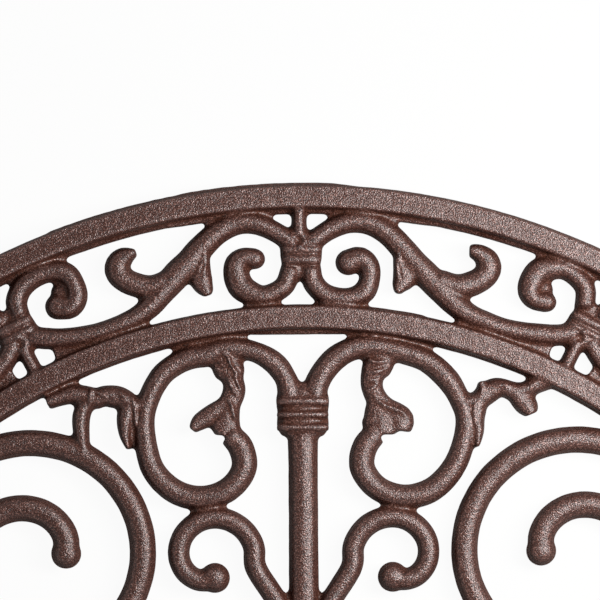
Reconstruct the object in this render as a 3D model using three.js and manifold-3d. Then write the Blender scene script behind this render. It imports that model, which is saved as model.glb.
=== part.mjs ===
// Half round cast iron door mat: an openwork casting of scrolls between an outer rim, an inner arch and a
// straight base rail. Millimetres, +Z up. The casting is divided into its members, with a fine parting gap.
import * as THREE from 'three';
import { mergeVertices } from 'three/addons/utils/BufferGeometryUtils.js';
import Module from 'manifold-3d';

const wasm = await Module();
wasm.setup();

// Driving dimensions
const OVERALL_WIDTH = 590;
const RIM_WIDTH = 12.3;
const BAND_WIDTH = 38.3;
const ARCH_WIDTH = 12.6;
const RAIL_WIDTH = 12.3;
const BASE_DROP = 35;
const FRAME_HEIGHT = 11;
const SCROLL_HEIGHT = 10;
const COLLAR_HEIGHT = 11.5;
const PARTING_GAP = 0.3;
const MOTIF_PITCH = 27;
const MOTIFS_PER_SIDE = 3;
const FOOT_DIAMETER = 10;
const FOOT_HEIGHT = 4;
const FOOT_BORE_DEPTH = 2.9;
const PIN_DIAMETER = 4.4;
const PIN_LENGTH = 2.5;
const PIN_CLEARANCE = 0.3;
const RIM_FOOT_ANGLES = [-70, -35, 0, 35, 70];
const RAIL_FOOT_PLACES = [-190, 0, 190];

// Fineness of the solids
const ARC_STEP = 4.5;
const SAGITTA = 0.5;
const LONGEST_STEP = 14;
const SHORTEST_STEP = 1.5;
const ROUND_SIDES = 10;
const SPIRAL_STEP = 24;
const SPIRAL_TIGHTENING = 1.6;

// Places that follow from the driving dimensions, measured from the centre of the arcs
const rimRadius = (OVERALL_WIDTH - RIM_WIDTH) / 2;
const bandRadius = OVERALL_WIDTH / 2 - RIM_WIDTH - BAND_WIDTH / 2;
const archRadius = bandRadius - (BAND_WIDTH + ARCH_WIDTH) / 2;
const panelRadius = archRadius - ARCH_WIDTH / 2;
const railY = RAIL_WIDTH / 2 - BASE_DROP;
const railTop = RAIL_WIDTH - BASE_DROP;
const railReach = Math.sqrt(rimRadius ** 2 - railY ** 2);
const arcEnd = THREE.MathUtils.radToDeg(Math.PI / 2 + Math.asin(-railY / archRadius));

const IRON = { color: 0x5d3f37, roughness: 0.62, metalness: 0.35 };
const RUBBER = { color: 0x1b1b1c, roughness: 0.9, metalness: 0 };

// Cross-sections: [share of half width, share of height], underside first
const FRAME_SECTION = [[-1, 0], [1, 0], [1, 0.35], [0.76, 1], [-0.76, 1], [-1, 0.35]];
const SCROLL_SECTION = [[-1, 0], [1, 0], [1, 0.42], [0.62, 0.84], [0, 1], [-0.62, 0.84], [-1, 0.42]];
const CUTTER_SECTION = [[-1, -1], [1, -1], [1, 2], [-1, 2]];

// Scrolls of the band: [share of the motif pitch, share of half the band, half width in mm]
const BAND_BAR = [
  [0.033, 0.31, 4.6], [0.097, 0.61, 5.1], [0.165, 0.85, 5.4], [0.239, 0.77, 6], [0.31, 0.47, 6],
  [0.394, 0.06, 6], [0.467, -0.3, 5.7], [0.543, -0.62, 5.1], [0.636, -0.8, 4.9], [0.748, -0.83, 4.8],
  [0.833, -0.74, 4.8], [0.903, -0.6, 4.9], [0.967, -0.31, 4.6],
];
const BAND_HOOK = [
  [0.43, -0.15, 4.2], [0.507, -0.26, 5], [0.556, -0.15, 5], [0.593, 0.02, 5.2], [0.615, 0.25, 5.4],
  [0.613, 0.45, 5], [0.593, 0.58, 3.8], [0.568, 0.62, 2.3], [0.546, 0.61, 0.8],
];
const BAND_LEAF = [
  [0.325, 0.35, 4], [0.345, 0.12, 5.4], [0.353, -0.08, 5.8], [0.35, -0.28, 5.4], [0.343, -0.49, 3.8],
  [0.34, -0.64, 1.4],
];
const BAND_VOLUTE = [
  [0.034, -0.23, 4.2], [0.048, -0.46, 4.4], [0.078, -0.69, 4.6], [0.125, -0.82, 4.7], [0.167, -0.8, 4.9],
  [0.205, -0.66, 5.2], [0.228, -0.39, 5.5], [0.224, -0.14, 5.3], [0.2, 0.01, 4.9], [0.175, 0, 4.6],
];
const VOLUTE_BALL = { along: 0.17, across: -0.02, radius: 5.2 };

// Collars: [share of half the band, half width in mm, share of the collar height]
const BAND_COLLAR = [
  [1.03, 3.6, 0.86], [0.68, 3.6, 0.8], [0.52, 5.6, 0.84], [0.4, 8.4, 0.93], [0.28, 9.2, 1],
  [0.16, 8.7, 0.9], [0.06, 9.2, 1], [-0.1, 9.1, 1], [-0.22, 8.2, 0.86],
];

// Panel: [share of the panel radius, share of its height, half width in mm]
const FORK_ARM = [
  [0.024, 0.88, 5], [0.041, 0.937, 5.5], [0.063, 0.96, 5.4], [0.086, 0.97, 5.4], [0.1135, 0.977, 5.5],
  [0.149, 0.974, 5.6], [0.185, 0.966, 5.6], [0.216, 0.957, 5.7], [0.246, 0.936, 5.8], [0.27, 0.908, 5.8],
  [0.281, 0.8715, 5.7], [0.282, 0.828, 5.5], [0.2675, 0.777, 5.4], [0.229, 0.742, 5.4], [0.181, 0.732, 5.4],
  [0.134, 0.746, 5.4], [0.106, 0.781, 5.5], [0.112, 0.815, 5.4], [0.13, 0.835, 4.8],
];
const ACANTHUS = [
  [0.142, 0.97, 7], [0.136, 0.942, 6.6], [0.127, 0.9225, 5.2], [0.123, 0.907, 5.4], [0.131, 0.887, 6.2],
  [0.146, 0.8715, 8.4], [0.153, 0.856, 8.8], [0.147, 0.836, 5.8],
];
const BRANCH = [
  [0.289, 0.899, 4.6], [0.319, 0.9, 4.3], [0.35, 0.901, 4.2], [0.38, 0.911, 4.4], [0.4057, 0.9285, 4.6],
];
const BRANCH_LEAF = [
  [0.38, 0.907, 3.5], [0.397, 0.887, 3.8], [0.401, 0.86, 4], [0.396, 0.828, 3.6], [0.393, 0.806, 2.6],
];
const BRANCH_SPUR = [
  [0.319, 0.895, 3.4], [0.326, 0.8675, 3.6], [0.319, 0.836, 2.6], [0.313, 0.8125, 0.8],
];
const SIDE_LEAF = [[0.675, 0.438, 3.6], [0.742, 0.474, 5.6], [0.803, 0.514, 5.2], [0.862, 0.555, 3.4]];
const HEART_LEAD = [[0.095, 0.006, 4.6], [0.06, 0.07, 4.8], [0.045, 0.148, 5], [0.039, 0.227, 5]];
const FOOT_LEAD = [[1.01, 0.035, 4.4], [0.93, 0.018, 4.8], [0.71, 0.014, 5.2], [0.58, 0.014, 5.2]];
const FOOT_LEAF = [[0.84, 0.03, 4], [0.885, 0.072, 5.2], [0.93, 0.112, 5], [1, 0.152, 3.2]];
const INNER_LEAF = [[0.665, 0.45, 4.4], [0.61, 0.4, 6], [0.555, 0.345, 5.4], [0.51, 0.28, 3.4]];
const BUD_LEAD = [[0.024, 0.52, 4], [0.05, 0.565, 4.3]];
const UPPER_VOLUTE = { across: 0.481, up: 0.63, radius: 0.2244, eye: 0.056, start: -14, sweep: 540, half: 5.4 };
const LOWER_VOLUTE = { across: 0.811, up: 0.256, radius: 0.183, eye: 0.054, start: 165, sweep: 480, half: 5.4 };
const HEART_VOLUTE = { across: 0.246, up: 0.335, radius: 0.207, eye: 0.054, start: 180, sweep: -520, half: 5.4 };
const FOOT_VOLUTE = { across: 0.483, up: 0.1345, radius: 0.1315, eye: 0.043, start: -90, sweep: -400, half: 5.2 };
const BUD_VOLUTE = { across: 0.166, up: 0.6335, radius: 0.08, eye: 0.036, start: 190, sweep: -290, half: 4.4 };
const EYE_RADIUS = 6.4;

// Upright bars: [share of the panel height, half width in mm, share of the collar height]
const TRUNK = [
  [0, 10, 0.85], [0.03, 9, 0.85], [0.05, 6.5, 0.82], [0.286, 6.2, 0.82], [0.482, 6.2, 0.82], [0.498, 8.8, 0.94],
  [0.514, 9.2, 1], [0.529, 8.8, 0.94], [0.545, 6.2, 0.82], [0.816, 6.2, 0.82], [0.85, 6.8, 0.82],
];
const LOWER_COLLAR = [
  [0.836, 8.5, 0.88], [0.848, 11, 1], [0.86, 11, 1], [0.8655, 10.3, 0.88], [0.881, 10.3, 0.88], [0.887, 11, 1],
  [0.895, 11, 1], [0.9, 10, 0.88],
];

/** Turns a closed three.js geometry into a solid that can be joined and cut. */
function solidOf(geometry) {
  const bare = geometry.clone();
  for (const name of Object.keys(bare.attributes)) {
    if (name !== 'position') bare.deleteAttribute(name);
  }
  const merged = mergeVertices(bare, 1e-5);
  const vertProperties = new Float32Array(merged.attributes.position.array);
  const triVerts = new Uint32Array(merged.index.array);
  return new wasm.Manifold(new wasm.Mesh({ numProp: 3, vertProperties, triVerts }));
}

/** Turns a solid back into a geometry. */
function geometryOf(solid) {
  const mesh = solid.getMesh();
  const geometry = new THREE.BufferGeometry();
  geometry.setAttribute('position', new THREE.BufferAttribute(Float32Array.from(mesh.vertProperties), 3));
  geometry.setIndex(new THREE.BufferAttribute(Uint32Array.from(mesh.triVerts), 1));
  return geometry;
}

/** Joins rings of one section along stations {x, y, dx, dy, half, height}, with flat ends. */
function loft(stations, section) {
  const count = section.length;
  const positions = [];
  const index = [];
  for (const { x, y, dx, dy, half, height } of stations) {
    for (const [across, up] of section) {
      positions.push(x - dy * across * half, y + dx * across * half, up * height);
    }
  }
  for (let i = 0; i + 1 < stations.length; i += 1) {
    for (let j = 0; j < count; j += 1) {
      const a = i * count + j;
      const b = i * count + ((j + 1) % count);
      index.push(a, b, b + count, a, b + count, a + count);
    }
  }
  const last = (stations.length - 1) * count;
  for (let j = 1; j + 1 < count; j += 1) {
    index.push(0, j + 1, j, last, last + j, last + j + 1);
  }
  const geometry = new THREE.BufferGeometry();
  geometry.setAttribute('position', new THREE.Float32BufferAttribute(positions, 3));
  geometry.setIndex(index);
  return solidOf(geometry);
}

/** Stations along a smooth curve through points (x, y, half width), closer where it bends. */
function stationsAlong(points, height) {
  const curve = new THREE.CatmullRomCurve3(points, false, 'centripetal');
  const length = curve.getLength();
  const fine = Math.ceil(length);
  const stations = [];
  let walked = 0;
  let turned = 0;
  let before = null;
  for (let i = 0; i <= fine; i += 1) {
    const point = curve.getPointAt(i / fine);
    const tangent = curve.getTangentAt(i / fine);
    const heading = Math.atan2(tangent.y, tangent.x);
    if (before !== null) {
      const turn = heading - before;
      turned += Math.abs(Math.atan2(Math.sin(turn), Math.cos(turn)));
      walked += length / fine;
    }
    before = heading;
    const due = (walked * turned) / 8 > SAGITTA || walked > LONGEST_STEP;
    if (i === 0 || i === fine || due) {
      if (i === fine && walked < SHORTEST_STEP) stations.pop();
      stations.push({
        x: point.x, y: point.y, dx: Math.cos(heading), dy: Math.sin(heading), half: point.z, height,
      });
      walked = 0;
      turned = 0;
    }
  }
  return stations;
}

/** The same stations, wider by the parting gap, for a neighbour to be cut with. */
function widened(stations) {
  return loft(stations.map((s) => ({ ...s, half: s.half + PARTING_GAP, height: FRAME_HEIGHT * 2 })), CUTTER_SECTION);
}

/** Stations on an arc about the centre, the same distance to the left and to the right of its top. */
function stationsOnArc(radius, half, height) {
  const whole = Math.floor(arcEnd / ARC_STEP);
  const angles = [-arcEnd];
  for (let k = -whole; k <= whole; k += 1) angles.push(k * ARC_STEP);
  angles.push(arcEnd);
  return angles.map((degrees) => {
    const angle = THREE.MathUtils.degToRad(degrees);
    const dx = Math.cos(angle);
    const dy = -Math.sin(angle);
    return { x: -radius * dy, y: radius * dx, dx, dy, half, height };
  });
}

/** A low domed round boss, as tall as the scrolls. */
function boss(x, y, radius, height) {
  const profile = [[0, 0], [1, 0], [1, 0.42], [0.62, 0.84], [0, 1]];
  const points = profile.map(([r, h]) => new THREE.Vector2(r * radius, h * height));
  const geometry = new THREE.LatheGeometry(points, ROUND_SIDES);
  geometry.rotateX(Math.PI / 2);
  geometry.translate(x, y, 0);
  return solidOf(geometry);
}

/** A round pin or bore from one height to another. */
function cylinder(x, y, diameter, from, to) {
  const geometry = new THREE.CylinderGeometry(diameter / 2, diameter / 2, to - from, ROUND_SIDES);
  geometry.rotateX(Math.PI / 2);
  geometry.translate(x, y, (from + to) / 2);
  return solidOf(geometry);
}

/** A straight block between two corners. */
function block(low, high) {
  const geometry = new THREE.BoxGeometry(high[0] - low[0], high[1] - low[1], high[2] - low[2]);
  geometry.translate((low[0] + high[0]) / 2, (low[1] + high[1]) / 2, (low[2] + high[2]) / 2);
  return solidOf(geometry);
}

/** The largest single body of a solid, without crumbs that a cut left beside it. */
function largestBody(solid) {
  const bodies = solid.decompose();
  return bodies.reduce((best, body) => (body.volume() > best.volume() ? body : best));
}

const mat = new THREE.Group();

/** Adds one named member to the mat. */
function addMember(name, solid, finish) {
  const mesh = new THREE.Mesh(geometryOf(solid), new THREE.MeshStandardMaterial({ ...finish, flatShading: true }));
  mesh.name = name;
  mat.add(mesh);
}

/** A point of the band: side 1 is right and -1 left, facing 1 is upright and -1 inverted. */
function bandPoint(motif, side, facing, [along, across, half]) {
  const angle = THREE.MathUtils.degToRad(motif * MOTIF_PITCH + side * along * MOTIF_PITCH);
  const radius = bandRadius + (facing * across * BAND_WIDTH) / 2;
  return new THREE.Vector3(radius * Math.sin(angle), radius * Math.cos(angle), half);
}

/** A point of the panel under the arch, as shares of its radius and of its height above the rail. */
function panelPoint(side, [across, up, half]) {
  return new THREE.Vector3(side * across * panelRadius, railTop + up * (panelRadius - railTop), half);
}

// Frame
const lowerCut = block([-OVERALL_WIDTH, -OVERALL_WIDTH, -FRAME_HEIGHT], [OVERALL_WIDTH, railTop + PARTING_GAP, 99]);
const rimStations = stationsOnArc(rimRadius, RIM_WIDTH / 2, FRAME_HEIGHT);
const archStations = stationsOnArc(archRadius, ARCH_WIDTH / 2, FRAME_HEIGHT);
const bandStations = stationsOnArc(bandRadius, BAND_WIDTH / 2 - PARTING_GAP, FRAME_HEIGHT * 2);
const bandSpace = loft(bandStations, CUTTER_SECTION).subtract(lowerCut);
const archCut = widened(archStations);

const rail = [-railReach, railReach].map((x) => (
  { x, y: railY, dx: 1, dy: 0, half: RAIL_WIDTH / 2, height: FRAME_HEIGHT }
));
const railEnds = [-1, 1].map((side) => boss(side * railReach, railY, RAIL_WIDTH / 2, FRAME_HEIGHT));
const rimFeet = RIM_FOOT_ANGLES.map((degrees) => {
  const angle = THREE.MathUtils.degToRad(degrees);
  return [rimRadius * Math.sin(angle), rimRadius * Math.cos(angle)];
});
const railFeet = RAIL_FOOT_PLACES.map((x) => [x, railY]);

/** A frame bar with its stub pins. */
function withPins(bar, places) {
  return places.reduce((solid, [x, y]) => solid.add(cylinder(x, y, PIN_DIAMETER, -PIN_LENGTH, 1)), bar);
}

addMember('outer_rim', withPins(loft(rimStations, FRAME_SECTION).subtract(lowerCut), rimFeet), IRON);
addMember('inner_arch', loft(archStations, FRAME_SECTION).subtract(lowerCut), IRON);
addMember('base_rail', withPins(railEnds.reduce((solid, end) => solid.add(end), loft(rail, FRAME_SECTION)),
  railFeet), IRON);

// Scroll band
const motifs = [];
for (let motif = -MOTIFS_PER_SIDE; motif <= MOTIFS_PER_SIDE; motif += 1) motifs.push(motif);

/** Name ending of a motif: top, or its side and number counted from the top. */
function motifName(motif) {
  if (motif === 0) return 'top';
  return `${motif < 0 ? 'left' : 'right'}_${Math.abs(motif)}`;
}

/** Name ending of a volute: its hand on the top motif, and upper or lower on the others. */
function voluteName(motif, side) {
  if (motif === 0) return `top_${side < 0 ? 'left' : 'right'}`;
  return `${motifName(motif)}_${motif * side < 0 ? 'upper' : 'lower'}`;
}

/** Facing of a motif: upright ones hang from the rim, inverted ones stand on the arch. */
function facingOf(motif) {
  return motif % 2 === 0 ? 1 : -1;
}

/** Stations of a motif's collar, from the bar that carries it inwards. */
function collarStations(motif) {
  const facing = facingOf(motif);
  return BAND_COLLAR.map(([across, half, rise]) => {
    const point = bandPoint(motif, 1, facing, [0, across, half]);
    const angle = THREE.MathUtils.degToRad(motif * MOTIF_PITCH);
    return {
      x: point.x, y: point.y, dx: -facing * Math.sin(angle), dy: -facing * Math.cos(angle), half,
      height: rise * COLLAR_HEIGHT,
    };
  });
}

const collarCuts = new Map(motifs.map((motif) => [motif, widened(collarStations(motif))]));

/** One bar of the band with its tendril and leaf, on one side of an upright motif. */
function bandScroll(motif, side) {
  const lines = [BAND_BAR, BAND_HOOK, BAND_LEAF];
  const bars = lines.map((line) => {
    const points = line.map((point) => bandPoint(motif, side, 1, point));
    return loft(stationsAlong(points, SCROLL_HEIGHT), SCROLL_SECTION);
  });
  let solid = bars[0].add(bars[1]).add(bars[2]).intersect(bandSpace);
  for (const neighbour of [motif, motif + side]) {
    if (collarCuts.has(neighbour)) solid = solid.subtract(collarCuts.get(neighbour));
  }
  return largestBody(solid);
}

/** The C volute on one side of a motif. */
function bandVolute(motif, side) {
  const facing = facingOf(motif);
  const points = BAND_VOLUTE.map((point) => bandPoint(motif, side, facing, point));
  const ball = bandPoint(motif, side, facing, [VOLUTE_BALL.along, VOLUTE_BALL.across, 0]);
  const bar = loft(stationsAlong(points, SCROLL_HEIGHT), SCROLL_SECTION);
  const whole = bar.add(boss(ball.x, ball.y, VOLUTE_BALL.radius, SCROLL_HEIGHT)).intersect(bandSpace);
  return largestBody(whole.subtract(collarCuts.get(motif)).subtract(mirrorPlaneCut(motif, side)));
}

/** The half space beyond a motif's own axis, so that its two volutes stay apart. */
function mirrorPlaneCut(motif, side) {
  const reach = OVERALL_WIDTH;
  const half = block([0, -reach, -reach], [reach, reach, reach]);
  const shifted = half.translate([-PARTING_GAP / 2, 0, 0]);
  return shifted.rotate([0, 0, side > 0 ? 180 : 0]).rotate([0, 0, -motif * MOTIF_PITCH]);
}

for (const motif of motifs) {
  addMember(`collar_${motifName(motif)}`, loft(collarStations(motif), SCROLL_SECTION).intersect(bandSpace), IRON);
}
for (const motif of motifs) {
  for (const side of [-1, 1]) {
    addMember(`volute_${voluteName(motif, side)}`, bandVolute(motif, side), IRON);
  }
}
for (const side of [-1, 1]) {
  for (let cell = 0; cell <= MOTIFS_PER_SIDE; cell += 1) {
    const upright = side * 2 * Math.ceil(cell / 2);
    const away = cell % 2 === 0 ? side : -side;
    const name = `band_scroll_${side < 0 ? 'left' : 'right'}_${cell + 1}`;
    addMember(name, bandScroll(upright, away), IRON);
  }
}

// Panel under the arch
const collarLine = LOWER_COLLAR.map(([up, half, rise]) => {
  const point = panelPoint(1, [0, up, half]);
  return { x: 0, y: point.y, dx: 0, dy: 1, half, height: rise * COLLAR_HEIGHT };
});
const trunkLine = TRUNK.map(([up, half, rise]) => {
  const point = panelPoint(1, [0, up, half]);
  return { x: 0, y: point.y, dx: 0, dy: 1, half, height: rise * COLLAR_HEIGHT };
});
const collarCut = widened(collarLine);
const trunkCut = widened(trunkLine);
addMember('lower_collar', loft(collarLine, SCROLL_SECTION), IRON);
addMember('trunk', loft(trunkLine, SCROLL_SECTION).subtract(collarCut).subtract(lowerCut), IRON);

/** Points of a spiral that keeps its radius at first and then tightens. Angles in degrees, from the right. */
function spiral(side, { across, up, radius, eye, start, sweep, half }) {
  const centre = panelPoint(side, [across, up, half]);
  const points = [];
  const steps = Math.round(Math.abs(sweep) / SPIRAL_STEP);
  for (let i = 0; i <= steps; i += 1) {
    const share = i / steps;
    const angle = THREE.MathUtils.degToRad(start + sweep * share);
    const reach = (radius + (eye - radius) * share ** SPIRAL_TIGHTENING) * panelRadius;
    points.push(new THREE.Vector3(centre.x + side * reach * Math.cos(angle), centre.y + reach * Math.sin(angle), half));
  }
  return points;
}

/** A bar of the panel through points, kept under the arch and above the rail. */
function panelBar(points) {
  const stations = stationsAlong(points, SCROLL_HEIGHT);
  return { solid: loft(stations, SCROLL_SECTION).subtract(archCut).subtract(lowerCut), cut: widened(stations) };
}

/** Several bars joined to one member. */
function joined(bars) {
  return {
    solid: bars.reduce((solid, bar) => solid.add(bar.solid), bars[0].solid),
    cut: bars.reduce((solid, bar) => solid.add(bar.cut), bars[0].cut),
  };
}

for (const side of [-1, 1]) {
  const hand = side < 0 ? 'left' : 'right';
  const line = (points) => points.map((point) => panelPoint(side, point));
  const eyeBoss = (points, radius) => {
    const end = points[points.length - 1];
    const cut = cylinder(end.x, end.y, 2 * (radius + PARTING_GAP), -FRAME_HEIGHT, 2 * FRAME_HEIGHT);
    return { solid: boss(end.x, end.y, radius, SCROLL_HEIGHT), cut };
  };
  const arm = panelBar(line(FORK_ARM));
  const acanthus = panelBar(line(ACANTHUS));
  const branch = joined([BRANCH, BRANCH_LEAF, BRANCH_SPUR].map((points) => panelBar(line(points))));
  const upper = spiral(side, UPPER_VOLUTE);
  const lower = spiral(side, LOWER_VOLUTE);
  const sideScroll = joined([panelBar([...upper.slice().reverse(), ...lower]), eyeBoss(upper, EYE_RADIUS),
    eyeBoss(lower, EYE_RADIUS), panelBar(line(INNER_LEAF))]);
  const heart = spiral(side, HEART_VOLUTE);
  const heartScroll = joined([panelBar([...line(HEART_LEAD), ...heart]), eyeBoss(heart, EYE_RADIUS)]);
  const foot = spiral(side, FOOT_VOLUTE);
  const footScroll = joined([panelBar([...line(FOOT_LEAD), ...foot]), eyeBoss(foot, EYE_RADIUS),
    panelBar(line(FOOT_LEAF))]);
  const bud = spiral(side, BUD_VOLUTE);
  const budScroll = joined([panelBar([...line(BUD_LEAD), ...bud]), eyeBoss(bud, EYE_RADIUS)]);
  const sideLeaf = panelBar(line(SIDE_LEAF));
  const members = [
    [`fork_arm_${hand}`, arm, [{ cut: collarCut }, { cut: mirrorPlaneCut(0, side) }]],
    [`acanthus_${hand}`, acanthus, [arm]],
    [`branch_${hand}`, branch, [arm]],
    [`side_scroll_${hand}`, sideScroll, [branch, arm]],
    [`heart_scroll_${hand}`, heartScroll, [{ cut: trunkCut }, sideScroll]],
    [`foot_scroll_${hand}`, footScroll, [heartScroll, sideScroll]],
    [`bud_scroll_${hand}`, budScroll, [{ cut: trunkCut }, arm, sideScroll, heartScroll]],
    [`side_leaf_${hand}`, sideLeaf, [sideScroll]],
  ];
  for (const [name, member, neighbours] of members) {
    const solid = neighbours.reduce((rest, neighbour) => rest.subtract(neighbour.cut), member.solid);
    addMember(name, largestBody(solid), IRON);
  }
}

// Rubber caps pushed on the stub pins
[...rimFeet, ...railFeet].forEach(([x, y], number) => {
  const bore = PIN_DIAMETER / 2 + PIN_CLEARANCE;
  const profile = [
    [0, -FOOT_HEIGHT], [FOOT_DIAMETER / 2, -FOOT_HEIGHT], [FOOT_DIAMETER / 2, -PARTING_GAP], [bore, -PARTING_GAP],
    [bore, -FOOT_BORE_DEPTH], [0, -FOOT_BORE_DEPTH],
  ].map(([radius, height]) => new THREE.Vector2(radius, height));
  const geometry = new THREE.LatheGeometry(profile, ROUND_SIDES);
  geometry.rotateX(Math.PI / 2);
  geometry.translate(x, y, 0);
  addMember(`rubber_foot_${number + 1}`, solidOf(geometry), RUBBER);
});

// The origin is at the middle of the mat, on the surface that it lies on.
mat.position.set(0, BASE_DROP / 2 - OVERALL_WIDTH / 4, FOOT_HEIGHT);
mat.updateMatrixWorld(true);

export default mat;
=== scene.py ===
"""The look of a half round cast iron door mat: its openwork casting, its rubber feet and a plain studio."""

import logging
import math
from collections.abc import Sequence
from dataclasses import dataclass, field
from enum import Enum

import bmesh
import bpy
import numpy as np
from mathutils import Matrix, Quaternion, Vector, noise


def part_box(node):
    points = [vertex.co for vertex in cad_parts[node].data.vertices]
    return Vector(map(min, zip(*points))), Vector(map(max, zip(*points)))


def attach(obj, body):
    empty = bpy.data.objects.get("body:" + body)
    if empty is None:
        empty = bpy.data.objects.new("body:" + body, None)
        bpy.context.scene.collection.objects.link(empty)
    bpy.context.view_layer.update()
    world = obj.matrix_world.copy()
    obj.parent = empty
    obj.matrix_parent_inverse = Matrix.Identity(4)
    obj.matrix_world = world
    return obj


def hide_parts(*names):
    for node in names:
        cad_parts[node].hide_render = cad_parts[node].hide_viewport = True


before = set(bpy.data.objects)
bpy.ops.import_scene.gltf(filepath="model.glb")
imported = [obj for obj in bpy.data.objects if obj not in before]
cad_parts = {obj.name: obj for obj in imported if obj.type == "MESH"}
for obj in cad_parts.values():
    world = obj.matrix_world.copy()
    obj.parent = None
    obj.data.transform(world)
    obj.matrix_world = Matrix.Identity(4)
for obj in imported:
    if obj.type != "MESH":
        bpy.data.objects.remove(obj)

MM = 0.001
ROOT = "root"
DETAIL_LIFT = 4.0
LOG = logging.getLogger("door_mat")

# A line holds points, and a pair holds its left and its right version. A range holds two values of an input
# and the two values that they become.
Point = tuple[float, ...]
Line = Sequence[Point]
Pair = tuple[Line, Line]
Range = tuple[float, float, float, float]


def mirrored(right: Line, *crown: Point) -> Line:
    """An upright outline with two like sides.

    Args:
        right: Points of the right-hand side, bottom first.
        crown: The point in the middle of the top, if there is one.

    Returns:
        The whole outline, from its lower left corner.
    """
    foot, *rest = right
    left = [(-across, up) for across, up in reversed(rest)]
    return ((-foot[0], foot[1]), foot, *rest, *crown, *left)


class Section(Enum):
    """Cross-sections of the casting: (share of half width, share of height), underside first."""

    BAR = mirrored((
        (0.88, 0), (1, 0.32), (0.99, 0.42), (0.88, 0.48), (0.84, 0.58), (0.76, 0.75), (0.6, 0.88),
        (0.36, 0.965),
    ), (0, 1))
    LEAF = mirrored(((0.86, 0), (1, 0.34), (0.98, 0.45), (0.88, 0.52), (0.8, 0.76), (0.5, 0.88)), (0, 0.92))
    VEIN = mirrored(((1, 0.1), (1, 0.66), (0.7, 0.86), (0.35, 0.97)), (0, 1))
    WEB = mirrored(((1, 0), (1, 0.85), (0.85, 1)))
    RAIL = mirrored(((0.9, 0), (1, 0.42), (0.97, 0.5), (0.82, 0.56), (0.77, 0.86), (0.7, 0.97), (0.62, 1)))
    RIM = (
        (-1.06, 0), (0.84, 0), (0.9, 0.4), (0.88, 0.48), (0.79, 0.53), (0.76, 0.86), (0.71, 0.97), (0.63, 1),
        (-0.63, 1), (-0.71, 0.97), (-0.77, 0.88), (-0.82, 0.54), (-1.03, 0.5), (-1.11, 0.42), (-1.13, 0.28),
    )
    ARCH = (
        (-0.78, 0), (0.9, 0), (0.97, 0.4), (0.95, 0.46), (0.87, 0.51), (0.84, 0.86), (0.79, 0.97), (0.72, 1),
        (-0.55, 1), (-0.63, 0.97), (-0.68, 0.86), (-0.71, 0.54), (-0.81, 0.5), (-0.86, 0.42), (-0.87, 0.3),
    )


@dataclass(frozen=True)
class Drawing:
    """Driving sizes of the mat in mm, and the places that follow from them, from the arcs' centre."""

    overall_width: float = 590.0
    rim_width: float = 12.3
    band_width: float = 38.3
    arch_width: float = 12.6
    rail_width: float = 12.3
    base_drop: float = 35.0
    frame_height: float = 11.0
    scroll_height: float = 10.0
    foot_height: float = 4.0
    foot_diameter: float = 10.0
    foot_gap: float = 0.3
    foot_bore_depth: float = 2.9
    pin_diameter: float = 4.4
    pin_length: float = 2.5
    pin_clearance: float = 0.3
    motif_pitch: float = 27.0
    motifs_per_side: int = 3
    rim_foot_angles: tuple[float, ...] = (-70, -35, 0, 35, 70)
    rail_foot_places: tuple[float, ...] = (-190, 0, 190)

    @property
    def rim_radius(self) -> float:
        """Radius of the rim's centre line."""
        return (self.overall_width - self.rim_width) / 2

    @property
    def band_radius(self) -> float:
        """Radius of the middle of the scroll band."""
        return self.overall_width / 2 - self.rim_width - self.band_width / 2

    @property
    def arch_radius(self) -> float:
        """Radius of the arch's centre line."""
        return self.band_radius - (self.band_width + self.arch_width) / 2

    @property
    def panel_radius(self) -> float:
        """Radius of the space under the arch."""
        return self.arch_radius - self.arch_width / 2

    @property
    def rail_y(self) -> float:
        """Height of the rail's centre line on the drawing."""
        return self.rail_width / 2 - self.base_drop

    @property
    def rail_top(self) -> float:
        """Height of the rail's upper edge on the drawing."""
        return self.rail_width - self.base_drop

    @property
    def to_row(self) -> Matrix:
        """Takes drawing millimetres above the casting's underside to metres in the frame."""
        drop = self.base_drop / 2 - self.overall_width / 4
        return Matrix.Scale(MM, 4) @ Matrix.Translation((0, drop, self.foot_height))

    def end_angle(self, radius: float) -> float:
        """Angle from the top, in radians, at which an arc of that radius meets the rail's centre line."""
        return math.pi / 2 + math.asin(-self.rail_y / radius)

    def on_arc(self, radius: float, degrees: float) -> tuple[float, float]:
        """The point of an arc at an angle clockwise from the top."""
        angle = math.radians(degrees)
        return radius * math.sin(angle), radius * math.cos(angle)

    def on_band(self, motif: int, side: int, facing: int, line: Line) -> Line:
        """Places a line of the band.

        Args:
            motif: Number of the motif, 0 at the top and negative to the left.
            side: 1 for the right of the motif and -1 for its left.
            facing: 1 for an upright motif and -1 for an inverted one.
            line: Points as share of the motif pitch, share of half the band, half width and height in mm.

        Returns:
            Points as x, y, half width and height in mm.
        """
        placed = []
        for along, across, half, *height in line:
            degrees = (motif + side * along) * self.motif_pitch
            radius = self.band_radius + facing * across * self.band_width / 2
            placed.append((*self.on_arc(radius, degrees), half, *(height or [self.scroll_height])))
        return placed

    def on_panel(self, side: int, line: Line) -> Line:
        """Places a line of the panel.

        Args:
            side: 1 for the right half and -1 for the left half.
            line: Points as share of the panel radius, share of the panel height, half width and height in mm.

        Returns:
            Points as x, y, half width and height in mm.
        """
        rise = self.panel_radius - self.rail_top
        return [
            (
                side * across * self.panel_radius, self.rail_top + up * rise, half,
                *(height or [self.scroll_height]),
            )
            for across, up, half, *height in line
        ]


DRAWING = Drawing()


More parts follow.
